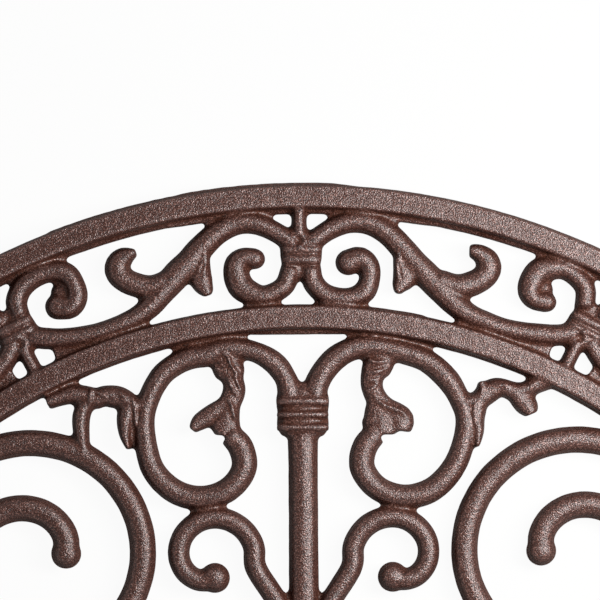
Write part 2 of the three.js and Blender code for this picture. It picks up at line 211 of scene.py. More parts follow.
def smooth_stations(points: Line, step: float) -> np.ndarray:
    """Even stations on a smooth curve through points.

    Args:
        points: Points as x, y, half width and height in mm.
        step: Distance between stations in mm.

    Returns:
        Rows of x, y, half width and height.
    """
    samples = 16
    given = np.array(points, float)
    if len(given) == 2:
        fine = np.linspace(given[0], given[1], samples // 2 + 1)
    else:
        ends = np.vstack([2 * given[0] - given[1], given, 2 * given[-1] - given[-2]])
        pieces = []
        for a, b, c, d in zip(ends, ends[1:], ends[2:], ends[3:]):
            ab, bc, cd = (max(np.linalg.norm((q - p)[:3]), 1e-6) ** 0.5 for p, q in ((a, b), (b, c), (c, d)))
            leaving = ((b - a) / ab - (c - a) / (ab + bc) + (c - b) / bc) * bc
            arriving = ((c - b) / bc - (d - b) / (bc + cd) + (d - c) / cd) * bc
            t = np.linspace(0, 1, samples, endpoint=False)[:, None]
            pieces.append(
                b + leaving * t + (3 * (c - b) - 2 * leaving - arriving) * t**2
                + (2 * (b - c) + leaving + arriving) * t**3
            )
        fine = np.vstack([*pieces, given[-1:]])
    walked = np.concatenate([[0], np.cumsum(np.hypot(*np.diff(fine[:, :2], axis=0).T))])
    places = np.linspace(0, walked[-1], max(3, round(walked[-1] / step)))
    return np.stack([np.interp(places, walked, column) for column in fine.T], axis=1)


def bead(reach: float, place: float, half: float, height: float, sink: float) -> Line:
    """A soft band over a collar, with lower shoulders and low, narrow ends.

    Args:
        reach: How far it runs to each side, as a share of the drawing.
        place: Where it lies on the collar, as a share of the drawing.
        half: Half width in mm.
        height: Height of its crest in mm.
        sink: How far its ends lie below the crest, in mm.

    Returns:
        Points as shares of the drawing, half width and height in mm.
    """
    shoulder, end = (0.75, 1, 0.6), (1, 0.6, sink)
    return [
        (sign * reach * along, place, half * width, height - drop)
        for sign, (along, width, drop) in ((-1, end), (-1, shoulder), (1, (0, 1, 0)), (1, shoulder), (1, end))
    ]


def turn(part: bmesh.types.BMesh, x: float, y: float, profile: Line, steps: int) -> None:
    """Turns a profile about an upright axis.

    Args:
        part: The mesh that takes the body.
        x: Place of the axis in mm.
        y: Place of the axis in mm.
        profile: Points as radius and height in mm, from the axis to the axis.
        steps: Number of steps round the axis.
    """
    corners = [part.verts.new((x + radius, y, height)) for radius, height in profile]
    edges = [part.edges.new(pair) for pair in zip(corners, corners[1:])]
    bmesh.ops.spin(
        part, geom=[*corners, *edges], cent=(x, y, 0), axis=(0, 0, 1), angle=math.tau, steps=steps,
        use_merge=True,
    )
    bmesh.ops.remove_doubles(part, verts=part.verts, dist=0.001)


@dataclass
class Pattern:
    """The founder's pattern: closed bars in one mesh, later melted together into one skin."""

    step: float = 1.3
    growth: float = 0.2
    least_half: float = 0.3
    round_steps: int = 32
    whole: bmesh.types.BMesh = field(default_factory=bmesh.new)
    dents: list[Point] = field(default_factory=list)

    def keep(self, part: bmesh.types.BMesh) -> None:
        """Adds a closed part to the pattern.

        Args:
            part: A closed part, which is used up.
        """
        bmesh.ops.recalc_face_normals(part, faces=part.faces)
        mesh = bpy.data.meshes.new("part")
        part.to_mesh(mesh)
        part.free()
        self.whole.from_mesh(mesh)
        bpy.data.meshes.remove(mesh)

    def close(self, part: bmesh.types.BMesh) -> None:
        """Fills the open ends of a part and adds it."""
        bmesh.ops.holes_fill(part, edges=[edge for edge in part.edges if edge.is_boundary])
        self.keep(part)

    def bar(self, points: Line, section: Section, lift: float = 0.0) -> None:
        """Adds a bar: its section is extruded from station to station.

        Args:
            points: Points as x, y, half width and height in mm.
            section: The bar's cross-section.
            lift: Height of the bar's own underside above the casting's, in mm.
        """
        stations = smooth_stations(points, self.step)
        stations = stations[stations[:, 1] >= DRAWING.rail_y]
        if len(stations) < 3:
            return
        headings = np.gradient(stations[:, :2], axis=0)
        headings /= np.linalg.norm(headings, axis=1)[:, None]
        part = bmesh.new()
        corners = [part.verts.new((0, across, up)) for across, up in section.value]
        edges = list(part.faces.new(corners).edges)
        before = Matrix.Identity(4)
        for number, ((x, y, half, height), (dx, dy)) in enumerate(zip(stations, headings)):
            turned = Matrix(((dx, -dy, 0, x), (dy, dx, 0, y), (0, 0, 1, lift), (0, 0, 0, 1)))
            place = turned @ Matrix.Diagonal((1, max(half + self.growth, self.least_half), height - lift, 1))
            if number:
                made = bmesh.ops.extrude_edge_only(part, edges=edges)["geom"]
                corners = [item for item in made if isinstance(item, bmesh.types.BMVert)]
                fresh = set(corners)
                edges = [
                    item for item in made
                    if isinstance(item, bmesh.types.BMEdge) and fresh.issuperset(item.verts)
                ]
            bmesh.ops.transform(part, matrix=place @ before.inverted(), verts=corners)
            before = place
        self.close(part)

    def arc(self, radius: float, half: float, height: float, section: Section) -> None:
        """Adds an arc that ends inside the rail, by spinning its section about the centre.

        Args:
            radius: Radius of the centre line in mm.
            half: Half width in mm.
            height: Height in mm.
            section: Cross-section, with its right-hand side outwards.
        """
        reach = DRAWING.end_angle(radius)
        part = bmesh.new()
        start = Matrix.Rotation(math.pi / 2 - reach, 4, "Z")
        corners = [
            part.verts.new(start @ Vector((radius + across * half, 0, up * height)))
            for across, up in section.value
        ]
        ring = part.faces.new(corners)
        bmesh.ops.spin(
            part, geom=list(ring.edges), cent=(0, 0, 0), axis=(0, 0, 1), angle=2 * reach,
            steps=round(2 * reach * radius / self.step), use_merge=False, use_duplicate=False,
        )
        self.close(part)

    def turned(self, x: float, y: float, profile: Line) -> None:
        """Adds a turned body with an upright axis.

        Args:
            x: Place of the axis in mm.
            y: Place of the axis in mm.
            profile: Points as radius and height in mm, from the axis to the axis.
        """
        part = bmesh.new()
        turn(part, x, y, profile, self.round_steps)
        self.keep(part)

    def boss(self, x: float, y: float, radius: float, height: float) -> None:
        """Adds a domed round boss with the same flank as the bars."""
        right = [(share, up) for share, up in Section.BAR.value if share >= 0]
        self.turned(x, y, [(0, 0), *((share * radius, up * height) for share, up in right)])

    def mesh(self) -> bpy.types.Mesh:
        """Ends the pattern.

        Returns:
            The pattern as one mesh in the frame's metres.
        """
        bmesh.ops.transform(self.whole, matrix=DRAWING.to_row, verts=self.whole.verts)
        mesh = bpy.data.meshes.new("pattern")
        self.whole.to_mesh(mesh)
        self.whole.free()
        return mesh


@dataclass
class FrameBars:
    """The outer rim, the inner arch and the straight rail, with the stub pins and the rim's flash."""

    flash_half: float = 1.6
    flash_height: float = 5.9
    flash_lift: float = 3.4
    flash_from: float = -21.0
    flash_full: float = -10.3
    flash_to: float = 5.6
    flash_count: int = 72
    flash_reach: float = 1.5
    flash_inset: float = 0.1
    first_share: float = 0.72
    share_per_degree: float = 0.3
    end_slope: float = 7.0
    end_share: float = 0.15
    ragged_height: float = 0.2
    ragged_pace: float = 0.9
    ragged_until: float = 0.7
    lip_half: float = 1.3
    lip_height: float = 5.0
    fork_lip_y: float = 233.05
    fork_lip_reach: tuple[float, float] = (-22, 18)
    outer_lip_angles: tuple[int, int] = (5, 12)
    pin_root: float = 1.0
    pins: list[Point] = field(default_factory=list)

    def __post_init__(self) -> None:
        """Works out where the stub pins stand."""
        self.pins = [DRAWING.on_arc(DRAWING.rim_radius, degrees) for degrees in DRAWING.rim_foot_angles]
        self.pins += [(x, DRAWING.rail_y) for x in DRAWING.rail_foot_places]

    def build(self, pattern: Pattern, _: Pattern) -> None:
        """Adds the bars to the pattern.

        Args:
            pattern: The pattern that takes the bars.
            _: The pattern of fine detail, of which the frame has none.
        """
        height = DRAWING.frame_height
        pattern.arc(DRAWING.rim_radius, DRAWING.rim_width / 2, height, Section.RIM)
        pattern.arc(DRAWING.arch_radius, DRAWING.arch_width / 2, height, Section.ARCH)
        self.rail(pattern)
        self.flash(pattern)
        self.lips(pattern)
        radius, low = DRAWING.pin_diameter / 2, -DRAWING.pin_length
        for x, y in self.pins:
            pattern.turned(x, y, [(0, low), (radius, low), (radius, self.pin_root), (0, self.pin_root)])

    def rail(self, pattern: Pattern) -> None:
        """Adds the straight rail and its round ends.

        Args:
            pattern: The pattern that takes the bars.
        """
        reach = math.sqrt(DRAWING.rim_radius**2 - DRAWING.rail_y**2)
        half = DRAWING.rail_width / 2
        height = DRAWING.frame_height
        ends = [(x, DRAWING.rail_y, half, height) for x in (-reach, reach)]
        pattern.bar(ends, Section.RAIL)
        right = [(share * half, up * height) for share, up in Section.RAIL.value if share >= 0]
        profile = [(0, 0), *right, (0, height)]
        for x, y, *_ in ends:
            pattern.turned(x, y, profile)

    def flash(self, pattern: Pattern) -> None:
        """Adds the thin lip that the mould's joint left along the top of the rim.

        Args:
            pattern: The pattern that takes the bars.
        """
        edge = DRAWING.overall_width / 2 - self.flash_half
        line = []
        for number in range(self.flash_count + 1):
            share = number / self.flash_count
            degrees = self.flash_from + (self.flash_to - self.flash_from) * share
            ragged = 0.0
            if share < self.ragged_until:
                ragged = noise.noise(Vector((number * self.ragged_pace, 0, 0)))
            grown = self.first_share + max(0, degrees - self.flash_full) * self.share_per_degree
            tapered = min(1.0, grown, (1 - share) * self.end_slope + self.end_share)
            radius = edge - (1 - tapered) * self.flash_reach + self.ragged_height * ragged - self.flash_inset
            line.append((*DRAWING.on_arc(radius, degrees), self.flash_half, self.flash_height))
        pattern.bar(line, Section.WEB, lift=self.flash_lift)

    def lips(self, pattern: Pattern) -> None:
        """Adds the arch's low lips: a straight one over the fork, and one outside the arch on the right.

        Args:
            pattern: The pattern that takes the bars.
        """
        ends = [(x, self.fork_lip_y, self.lip_half, self.lip_height) for x in self.fork_lip_reach]
        pattern.bar(ends, Section.WEB)
        first, last = self.outer_lip_angles
        edge = DRAWING.arch_radius + DRAWING.arch_width / 2 - self.lip_half
        arc = [DRAWING.on_arc(edge, degrees) for degrees in range(first, last + 1)]
        pattern.bar([(x, y, self.lip_half, self.lip_height) for x, y in arc], Section.WEB)


@dataclass
class ScrollBand:
    """The scrollwork between rim and arch, left and right.

    A line's points are a share of the pitch, a share of half the band, half width and height in mm.
    """

    bars: Pair = (
        [
            (0.02, 0.3, 3.4, 9.8), (0.036, 0.36, 4.1), (0.077, 0.55, 4.1), (0.116, 0.7, 4.2),
            (0.161, 0.82, 4.6), (0.213, 0.83, 4.8), (0.27, 0.68, 4.9), (0.332, 0.4, 5.3),
            (0.374, 0.165, 5.5), (0.426, -0.075, 5.9), (0.486, -0.36, 5.35), (0.54, -0.61, 4.75),
            (0.595, -0.75, 4.2), (0.66, -0.81, 4), (0.73, -0.82, 3.9), (0.8, -0.76, 4), (0.865, -0.65, 4.2),
            (0.92, -0.5, 4.4), (0.967, -0.31, 4.4),
        ],
        [
            (0.02, 0.3, 3.4, 9.8), (0.036, 0.36, 4.1), (0.077, 0.57, 4.1), (0.116, 0.72, 4.3),
            (0.161, 0.83, 4.6), (0.213, 0.83, 4.8), (0.27, 0.68, 4.9), (0.33, 0.38, 5.1),
            (0.372, 0.14, 5.2), (0.424, -0.11, 5.6), (0.488, -0.38, 5.55), (0.545, -0.6, 5.15),
            (0.595, -0.73, 4.6), (0.66, -0.79, 4.3), (0.73, -0.8, 4.1), (0.8, -0.74, 4.2),
            (0.865, -0.63, 4.4), (0.92, -0.5, 4.4), (0.967, -0.31, 4.4),
        ],
    )
    hooks: Pair = (
        [
            (0.465, -0.15, 4.2), (0.52, -0.22, 5), (0.563, -0.1, 5), (0.603, 0.12, 5.1), (0.614, 0.33, 5.4),
            (0.602, 0.49, 5.2), (0.575, 0.58, 4.1), (0.556, 0.6, 2.6), (0.54, 0.607, 1.4),
        ],
        [
            (0.473, -0.18, 4.6), (0.534, -0.215, 5), (0.575, -0.11, 5.2), (0.613, 0.12, 5.15),
            (0.623, 0.34, 5.3), (0.6075, 0.51, 5), (0.58, 0.605, 3.8), (0.56, 0.617, 3), (0.547, 0.6, 2.5),
        ],
    )
    leaves: Pair = (
        [
            (0.327, 0.34, 2.9), (0.338, 0.08, 3.7), (0.3465, -0.17, 4.4), (0.347, -0.35, 4.5),
            (0.3395, -0.49, 3.6), (0.334, -0.59, 2.6), (0.332, -0.65, 1.6),
        ],
        [
            (0.329, 0.36, 2.9), (0.339, 0.15, 4.2), (0.351, -0.1, 4.8), (0.353, -0.3, 4.8),
            (0.344, -0.44, 3.7), (0.34, -0.54, 2.4), (0.339, -0.63, 1.2),
        ],
    )
    leaf_veins: tuple[tuple[Line, ...], tuple[Line, ...]] = (
        (
            [
                (0.315, 0.4, 0.5, 9.7), (0.329, 0.16, 0.7, 9.5), (0.348, -0.08, 0.7, 9.4),
                (0.362, -0.28, 0.5, 8.6),
            ],
            [
                (0.316, 0.25, 0.5, 9.4), (0.322, 0.07, 0.7, 9.5), (0.335, -0.23, 0.7, 9.4),
                (0.34, -0.5, 0.5, 8.8),
            ],
            [(0.345, 0.28, 0.5, 9.5), (0.36, 0.04, 0.7, 9.4), (0.38, -0.16, 0.5, 8.6)],
        ),
        (
            [
                (0.32, 0.38, 0.5, 9.7), (0.325, 0.13, 0.7, 9.5), (0.345, -0.16, 0.7, 9.4),
                (0.356, -0.42, 0.5, 8.8),
            ],
            [
                (0.33, 0.42, 0.5, 9.7), (0.342, 0.2, 0.6, 9.5), (0.369, -0.04, 0.7, 9.4),
                (0.388, -0.25, 0.5, 8.6),
            ],
            [
                (0.318, 0.1, 0.5, 9.4), (0.322, -0.05, 0.7, 9.4), (0.332, -0.3, 0.7, 9.4),
                (0.339, -0.52, 0.5, 8.6),
            ],
        ),
    )
    volutes: Pair = (
        [
            (0.035, -0.16, 4, 7.2), (0.0385, -0.25, 4.1, 10.2), (0.046, -0.4, 4.15), (0.06, -0.595, 4.15),
            (0.097, -0.735, 4.15), (0.142, -0.8, 4.4), (0.18, -0.72, 5), (0.213, -0.56, 5.5),
            (0.225, -0.29, 5.4), (0.22, -0.04, 4.9), (0.195, 0.065, 4.2), (0.156, 0.02, 4.3),
        ],
        [
            (0.032, -0.16, 3.8, 7.2), (0.033, -0.25, 4, 10.2), (0.0345, -0.4, 4.2), (0.0405, -0.54, 4.4),
            (0.074, -0.76, 4.4), (0.127, -0.87, 4.5), (0.182, -0.83, 4.4), (0.223, -0.66, 4.6),
            (0.235, -0.36, 4.3), (0.226, -0.1, 4.6), (0.195, 0.045, 4.7), (0.157, -0.07, 5.4),
        ],
    )
    strays: dict[tuple[int, int], tuple[float, float]] = field(default_factory=lambda: {
        (-1, 1): (0.0025, -0.03), (1, -1): (0.004, 0.09),
    })
    stray_pace: float = 6.0
    ball_radius: tuple[float, float] = (4.25, 5.5)
    hollow: Point = (0.19, -0.28, 5, 6.8)
    stem: Line = ((-0.007, 1.1, 3), (-0.007, 0.6, 3.1), (-0.002, 0.42, 3.2), (0.006, 0.3, 2.8))
    collar: Line = (
        (-0.002, 0.5, 5, 9), (-0.002, 0.38, 7, 9.4), (-0.002, 0.28, 8.6, 9.6), (-0.002, 0.16, 8.8, 9.6),
        (-0.002, 0.06, 8.6, 9.4), (-0.003, -0.08, 8.4, 9.4), (-0.004, -0.17, 7.4, 8),
        (-0.004, -0.26, 6.4, 8), (-0.005, -0.36, 4.6, 7.8), (-0.005, -0.44, 3, 7.4),
    )
    collar_beads: tuple[Point, ...] = ((0.17, 8.1, 1.9, 10.1), (-0.045, 8.1, 2.2, 10.3))
    bead_sink: float = 2.4
    dimple: Point = (-0.008, 0.37, 2.6, 1.5)
    knob: Point = (-0.006, 0.22, 2, 11)
    webs: tuple[Line, ...] = (
        [(0.142, 0.97, 2.8, 6.4), (0.17, 1, 3, 6.8), (0.24, 0.98, 3, 6.8), (0.3, 0.93, 2.6, 6.4)],
        [(0.29, 1, 1, 6), (0.36, 1, 1, 6), (0.43, 1.02, 0.8, 6)],
        [(0.57, -0.93, 2.4, 6), (0.66, -1, 2.6, 6.2), (0.8, -0.98, 2.8, 6.2), (0.92, -0.92, 2.6, 6)],
    )
    foot_web: Line = ((0.09, -0.98, 1.8, 6), (0.14, -1, 2.2, 6.4), (0.2, -0.95, 1.8, 6))

    def build(self, body: Pattern, detail: Pattern) -> None:
        """Adds every motif of the band.

        Args:
            body: The pattern whose inner corners are filled.
            detail: The pattern of fine ridges and dents.
        """
        count = DRAWING.motifs_per_side
        for motif in range(-count, count + 1):
            facing = 1 if motif % 2 == 0 else -1
            self.collar_of(body, detail, motif, facing)
            for side in (-1, 1):
                self.volute_of(body, motif, side, facing)
        for side in (-1, 1):
            for cell in range(count + 1):
                upright = side * 2 * math.ceil(cell / 2)
                away = side if cell % 2 == 0 else -side
                self.scroll_of(body, detail, upright, away)

    def volute_of(self, body: Pattern, motif: int, side: int, facing: int) -> None:
        """Adds one volute with its ball. A low web closes the hollow of an inverted motif's volute.

        Args:
            body: The pattern whose inner corners are filled.
            motif: Number of the motif, 0 at the top and negative to the left.
            side: 1 for the volute on the right and -1 for the left.
            facing: 1 for an upright motif and -1 for an inverted one.
        """
        spread, raised = self.strays.get((motif, side), (0, 0))
        line = [
            (along + spread * min(1, along * self.stray_pace), across + facing * raised, *rest)
            for along, across, *rest in self.volutes[side > 0]
        ]
        placed = DRAWING.on_band(motif, side, facing, line)
        body.bar(placed, Section.BAR)
        x, y, *_ = placed[-1]
        body.boss(x, y, self.ball_radius[side > 0], DRAWING.scroll_height)
        body.bar(DRAWING.on_band(motif, side, facing, self.foot_web), Section.WEB)
        if facing < 0:
            body.boss(*DRAWING.on_band(motif, side, facing, [self.hollow])[0])

    def scroll_of(self, body: Pattern, detail: Pattern, motif: int, side: int) -> None:
        """Adds a long bar with its hook, leaf and webs, on one side of an upright motif.

        Args:
            body: The pattern whose inner corners are filled.
            detail: The pattern of fine ridges and dents.
            motif: Number of the upright motif that the bar leaves.
            side: 1 for a bar to the right of its motif and -1 for one to the left.
        """
        right = side > 0
        for line, section in (
            (self.bars[right], Section.BAR), (self.hooks[right], Section.BAR),
            (self.leaves[right], Section.LEAF), *((web, Section.WEB) for web in self.webs),
        ):
            body.bar(DRAWING.on_band(motif, side, 1, line), section)
        for vein in self.leaf_veins[right]:
            detail.bar(DRAWING.on_band(motif, side, 1, vein), Section.VEIN, lift=DETAIL_LIFT)

    def collar_of(self, body: Pattern, detail: Pattern, motif: int, facing: int) -> None:
        """Adds a motif's stem, its collar, and the collar's beads, dimple and knob.

        Args:
            body: The pattern whose inner corners are filled.
            detail: The pattern of fine ridges and dents.
            motif: Number of the motif, 0 at the top and negative to the left.
            facing: 1 for an upright motif and -1 for an inverted one.
        """
        for line in (self.stem, self.collar):
            body.bar(DRAWING.on_band(motif, 1, facing, line), Section.BAR)
        pitch = DRAWING.band_radius * math.radians(DRAWING.motif_pitch)
        for across, reach, half, height in self.collar_beads:
            line = bead(reach / pitch, across, half, height, self.bead_sink)
            detail.bar(DRAWING.on_band(motif, 1, facing, line), Section.VEIN, lift=DETAIL_LIFT)
        dimple, knob = DRAWING.on_band(motif, 1, facing, [self.dimple, self.knob])
        detail.dents.append(dimple)
        detail.boss(*knob)


@dataclass(frozen=True)
class Spiral:
    """A volute that keeps its radius at first and then tightens. Shares of the panel, angles in degrees."""

    across: float
    up: float
    radius: float
    eye: float
    start: float
    sweep: float
    half: float
    tightening: float = 1.6
    step: float = 24.0

    def line(self, side: int) -> Line:
        """Draws the spiral on one half of the panel.

        Args:
            side: 1 for the right half and -1 for the left half.

        Returns:
            Points as x, y, half width and height in mm, from the open end to the eye.
        """
        (x, y, *_), = DRAWING.on_panel(side, [(self.across, self.up, 0)])
        count = round(abs(self.sweep) / self.step)
        points = []
        for number in range(count + 1):
            share = number / count
            angle = math.radians(self.start + self.sweep * share)
            reach = (self.radius + (self.eye - self.radius) * share**self.tightening) * DRAWING.panel_radius
            place = (x + side * reach * math.cos(angle), y + reach * math.sin(angle))
            points.append((*place, self.half, DRAWING.scroll_height))
        return points


@dataclass
class Panel:
    """The scrollwork under the arch, left and right.

    A line's points are a share of the panel radius, a share of its height, half width and height in mm.
    """

    trunk: Line = (
        (0, -0.02, 9, 9.4), (0, 0.03, 9, 9.8), (0, 0.05, 6.5, 9.4), (0, 0.286, 6.2, 9.4),
        (0, 0.482, 6.2, 9.4), (0, 0.545, 6.2, 9.4), (0, 0.816, 6.2, 9.4), (0, 0.86, 6.8, 9.4),
    )
    lower_collar: Line = (
        (0, 0.832, 8.5, 9.4), (0, 0.845, 10.6, 9.8), (0, 0.87, 10.6, 9.6), (0, 0.895, 11, 9.8),
        (0, 0.906, 9.8, 9.4), (0, 0.914, 6, 8), (0, 0.92, 3, 6.6),
    )
    beads: tuple[Point, ...] = (
        (0.514, 9.2, 1.5, 11.4), (0.499, 8.6, 1.3, 10.6), (0.529, 8.6, 1.3, 10.6), (0.03, 9.6, 1.5, 10.8),
        (0.846, 10.8, 1.6, 11), (0.867, 10.8, 1.5, 11), (0.8885, 11, 1.8, 11),
    )
    fork_arms: Pair = (
        [
            (0.022, 0.885, 5.2), (0.025, 0.914, 4.9), (0.031, 0.928, 4.5), (0.041, 0.943, 4.7),
            (0.058, 0.958, 4.6), (0.083, 0.97, 4.2), (0.107, 0.975, 4.4), (0.144, 0.975, 4.7),
            (0.171, 0.966, 4.8), (0.197, 0.963, 4.8), (0.221, 0.955, 4.7), (0.2495, 0.937, 4.6),
            (0.2655, 0.917, 4.5), (0.2785, 0.891, 4.4), (0.285, 0.866, 4.3), (0.284, 0.828, 4.5),
        ],
        [
            (0.022, 0.885, 5.2), (0.023, 0.908, 5.1), (0.033, 0.931, 5), (0.06, 0.96, 5),
            (0.088, 0.974, 4.8), (0.116, 0.979, 5), (0.158, 0.974, 4.9), (0.19, 0.966, 4.7),
            (0.224, 0.954, 4.75), (0.261, 0.924, 4.8), (0.276, 0.903, 4.4), (0.286, 0.883, 4.2),
            (0.293, 0.863, 4.2), (0.291, 0.828, 4.5),
        ],
    )
    fork_curl: Line = (
        (0.2685, 0.777, 4.8), (0.229, 0.742, 5), (0.181, 0.732, 5), (0.134, 0.746, 5), (0.106, 0.781, 5.2),
        (0.112, 0.815, 5.2), (0.13, 0.835, 4.8),
    )
    acanthus: Pair = (
        [
            (0.142, 0.964, 5.8), (0.137, 0.95, 6.3), (0.1295, 0.937, 6.2), (0.125, 0.924, 4.3),
            (0.123, 0.911, 4.65), (0.125, 0.9, 4.6), (0.131, 0.888, 4.6), (0.1345, 0.877, 5),
            (0.138, 0.862, 5.6), (0.1395, 0.847, 6.1), (0.14, 0.834, 4),
        ],
        [
            (0.144, 0.964, 5.4), (0.141, 0.954, 5.8), (0.134, 0.945, 6.2), (0.126, 0.931, 4.85),
            (0.1245, 0.916, 4.55), (0.1275, 0.903, 4.3), (0.134, 0.8915, 4.6), (0.1375, 0.877, 6.3),
            (0.142, 0.863, 8.2), (0.143, 0.846, 8), (0.143, 0.834, 5),
        ],
    )
    acanthus_lobes: Pair = (
        [
            (0.13, 0.894, 2.8), (0.1425, 0.8835, 3.3), (0.165, 0.8685, 3.9), (0.1875, 0.855, 3.4),
            (0.199, 0.843, 1.6),
        ],
        [
            (0.14, 0.893, 3), (0.151, 0.8795, 3.9), (0.163, 0.87, 4.9), (0.1755, 0.857, 5.8),
            (0.174, 0.84, 4.5),
        ],
    )
    acanthus_folds: tuple[tuple[Line, ...], tuple[Line, ...]] = (
        (
            [
                (0.146, 0.972, 0.5, 9.6), (0.141, 0.968, 0.6, 10.3), (0.132, 0.961, 0.7, 10.6),
                (0.13, 0.951, 0.6, 10.4), (0.122, 0.941, 0.6, 10.2), (0.116, 0.932, 0.5, 9.6),
            ],
            [
                (0.122, 0.933, 0.5, 9.8), (0.12, 0.929, 0.6, 10), (0.115, 0.916, 0.6, 9.8),
                (0.11, 0.906, 0.5, 9),
            ],
            [
                (0.134, 0.927, 0.5, 9.6), (0.13, 0.919, 0.8, 10.4), (0.124, 0.908, 0.8, 10.2),
                (0.116, 0.897, 0.5, 9.2),
            ],
            [
                (0.134, 0.893, 0.6, 9.8), (0.129, 0.887, 0.9, 10.2), (0.125, 0.872, 0.7, 10),
                (0.121, 0.858, 0.5, 9.4),
            ],
            [(0.158, 0.945, 0.4, 8.6), (0.149, 0.94, 0.5, 9), (0.138, 0.934, 0.4, 8.8)],
        ),
        (
            [
                (0.118, 0.957, 0.6, 9.4), (0.123, 0.954, 0.9, 10.2), (0.138, 0.952, 0.8, 10.2),
                (0.152, 0.954, 0.6, 9.2),
            ],
            [
                (0.114, 0.936, 0.8, 9.2), (0.129, 0.935, 1, 10.2), (0.141, 0.938, 0.8, 9.9),
                (0.154, 0.943, 0.5, 8.8),
            ],
            [(0.116, 0.927, 0.7, 9.4), (0.127, 0.922, 0.8, 10), (0.138, 0.926, 0.5, 9.2)],
            [(0.116, 0.905, 0.8, 9.4), (0.128, 0.911, 0.9, 10.1), (0.137, 0.921, 0.5, 9)],
            [(0.122, 0.899, 0.7, 9.4), (0.13, 0.897, 0.8, 10), (0.141, 0.895, 0.5, 9)],
            [
                (0.13, 0.892, 0.6, 9.4), (0.135, 0.889, 0.9, 10), (0.15, 0.88, 1, 10.2),
                (0.166, 0.875, 1, 10), (0.18, 0.869, 0.9, 9.6), (0.187, 0.86, 0.6, 9),
            ],
        ),
    )
    branches: Pair = (
        [
            (0.282, 0.882, 3.2), (0.304, 0.885, 3.5), (0.318, 0.8935, 4.1), (0.3325, 0.898, 4.6),
            (0.347, 0.8995, 4.5), (0.358, 0.9005, 4), (0.3705, 0.8955, 4.3), (0.391, 0.9, 4.2),
            (0.415, 0.903, 4), (0.436, 0.898, 3.4), (0.46, 0.89, 3),
        ],
        [
            (0.29, 0.886, 3), (0.312, 0.887, 4), (0.336, 0.903, 4.6), (0.3485, 0.909, 4.25),
            (0.3595, 0.9105, 3.5), (0.374, 0.9045, 3.9), (0.39, 0.903, 3.7), (0.4035, 0.906, 3.5),
            (0.42, 0.914, 3.8), (0.44, 0.921, 3.8),
        ],
    )
    branch_leaves: Pair = (
        [
            (0.38, 0.897, 3.3), (0.394, 0.88, 3.6), (0.399, 0.864, 3.6), (0.398, 0.835, 3.2),
            (0.393, 0.806, 2.4),
        ],
        [
            (0.38, 0.903, 3.3), (0.391, 0.892, 4.4), (0.4025, 0.881, 4.7), (0.4085, 0.872, 3.9),
            (0.4115, 0.8655, 2.6),
        ],
    )
    branch_spurs: Pair = (
        [
            (0.307, 0.894, 3.8), (0.315, 0.876, 4), (0.318, 0.862, 3.9), (0.319, 0.836, 2.6),
            (0.313, 0.8125, 0.8),
        ],
        [
            (0.3135, 0.889, 4.4), (0.3135, 0.873, 3.9), (0.3125, 0.86, 3.4), (0.315, 0.836, 2.4),
            (0.313, 0.8125, 0.8),
        ],
    )
    branch_veins: tuple[tuple[Line, ...], tuple[Line, ...]] = (
        (
            [
                (0.379, 0.912, 0.5, 9.4), (0.38, 0.903, 1, 10.8), (0.381, 0.888, 0.9, 10.4),
                (0.384, 0.879, 0.5, 9),
            ],
            [
                (0.378, 0.909, 0.5, 9.4), (0.37, 0.906, 0.6, 10.2), (0.357, 0.9, 0.7, 10.4),
                (0.346, 0.891, 0.5, 9.4),
            ],
            [
                (0.33, 0.909, 0.5, 9.2), (0.325, 0.903, 0.6, 10.2), (0.318, 0.893, 0.7, 10.4),
                (0.309, 0.883, 0.5, 9.6),
            ],
            [
                (0.306, 0.897, 0.5, 9.6), (0.303, 0.89, 0.7, 10.4), (0.3, 0.868, 0.7, 10.2),
                (0.3, 0.85, 0.5, 9.4),
            ],
        ),
        (
            [
                (0.323, 0.916, 0.5, 9), (0.322, 0.907, 0.7, 10.4), (0.321, 0.896, 0.7, 10.2),
                (0.324, 0.88, 0.5, 9.4),
            ],
            [
                (0.337, 0.908, 0.5, 9.6), (0.351, 0.912, 0.6, 10.3), (0.366, 0.913, 0.6, 10.2),
                (0.378, 0.91, 0.5, 9.4),
            ],
            [
                (0.4, 0.902, 0.5, 9.6), (0.405, 0.907, 0.8, 10.2), (0.416, 0.915, 0.9, 10.3),
                (0.432, 0.922, 0.7, 9.8),
            ],
            [
                (0.309, 0.895, 0.5, 9.4), (0.308, 0.88, 0.7, 10.2), (0.308, 0.86, 0.7, 10.2),
                (0.31, 0.84, 0.5, 9.2),
            ],
        ),
    )
    lobe: Line = ((0.327, 0.896, 3), (0.3235, 0.91, 2.2), (0.322, 0.92, 1.4))
    webs: Pair = (
        [(0.125, 0.992, 2.2, 6), (0.15, 0.99, 2.5, 6.4), (0.175, 0.985, 2.5, 6.4), (0.208, 0.979, 2, 6)],
        [(0.108, 0.992, 2.2, 6), (0.13, 0.99, 2.5, 6.4), (0.155, 0.988, 2.5, 6.4), (0.19, 0.984, 2, 6)],
    )
    side_leaf: Line = ((0.675, 0.438, 3.6), (0.742, 0.474, 5.6), (0.803, 0.514, 5.2), (0.862, 0.555, 3.4))
    foot_leaf: Line = ((0.84, 0.03, 4), (0.885, 0.072, 5.2), (0.93, 0.112, 5), (1, 0.152, 3.2))
    inner_leaf: Line = ((0.665, 0.45, 4.4), (0.61, 0.4, 6), (0.555, 0.345, 5.4), (0.51, 0.28, 3.4))
    heart_lead: Line = ((0.095, 0.006, 4.6), (0.06, 0.07, 4.8), (0.045, 0.148, 5), (0.039, 0.227, 5))
    foot_lead: Line = ((1.01, 0.035, 4.4), (0.93, 0.018, 4.8), (0.71, 0.014, 5.2), (0.58, 0.014, 5.2))
    bud_lead: Line = ((0.024, 0.52, 4), (0.05, 0.565, 4.3))
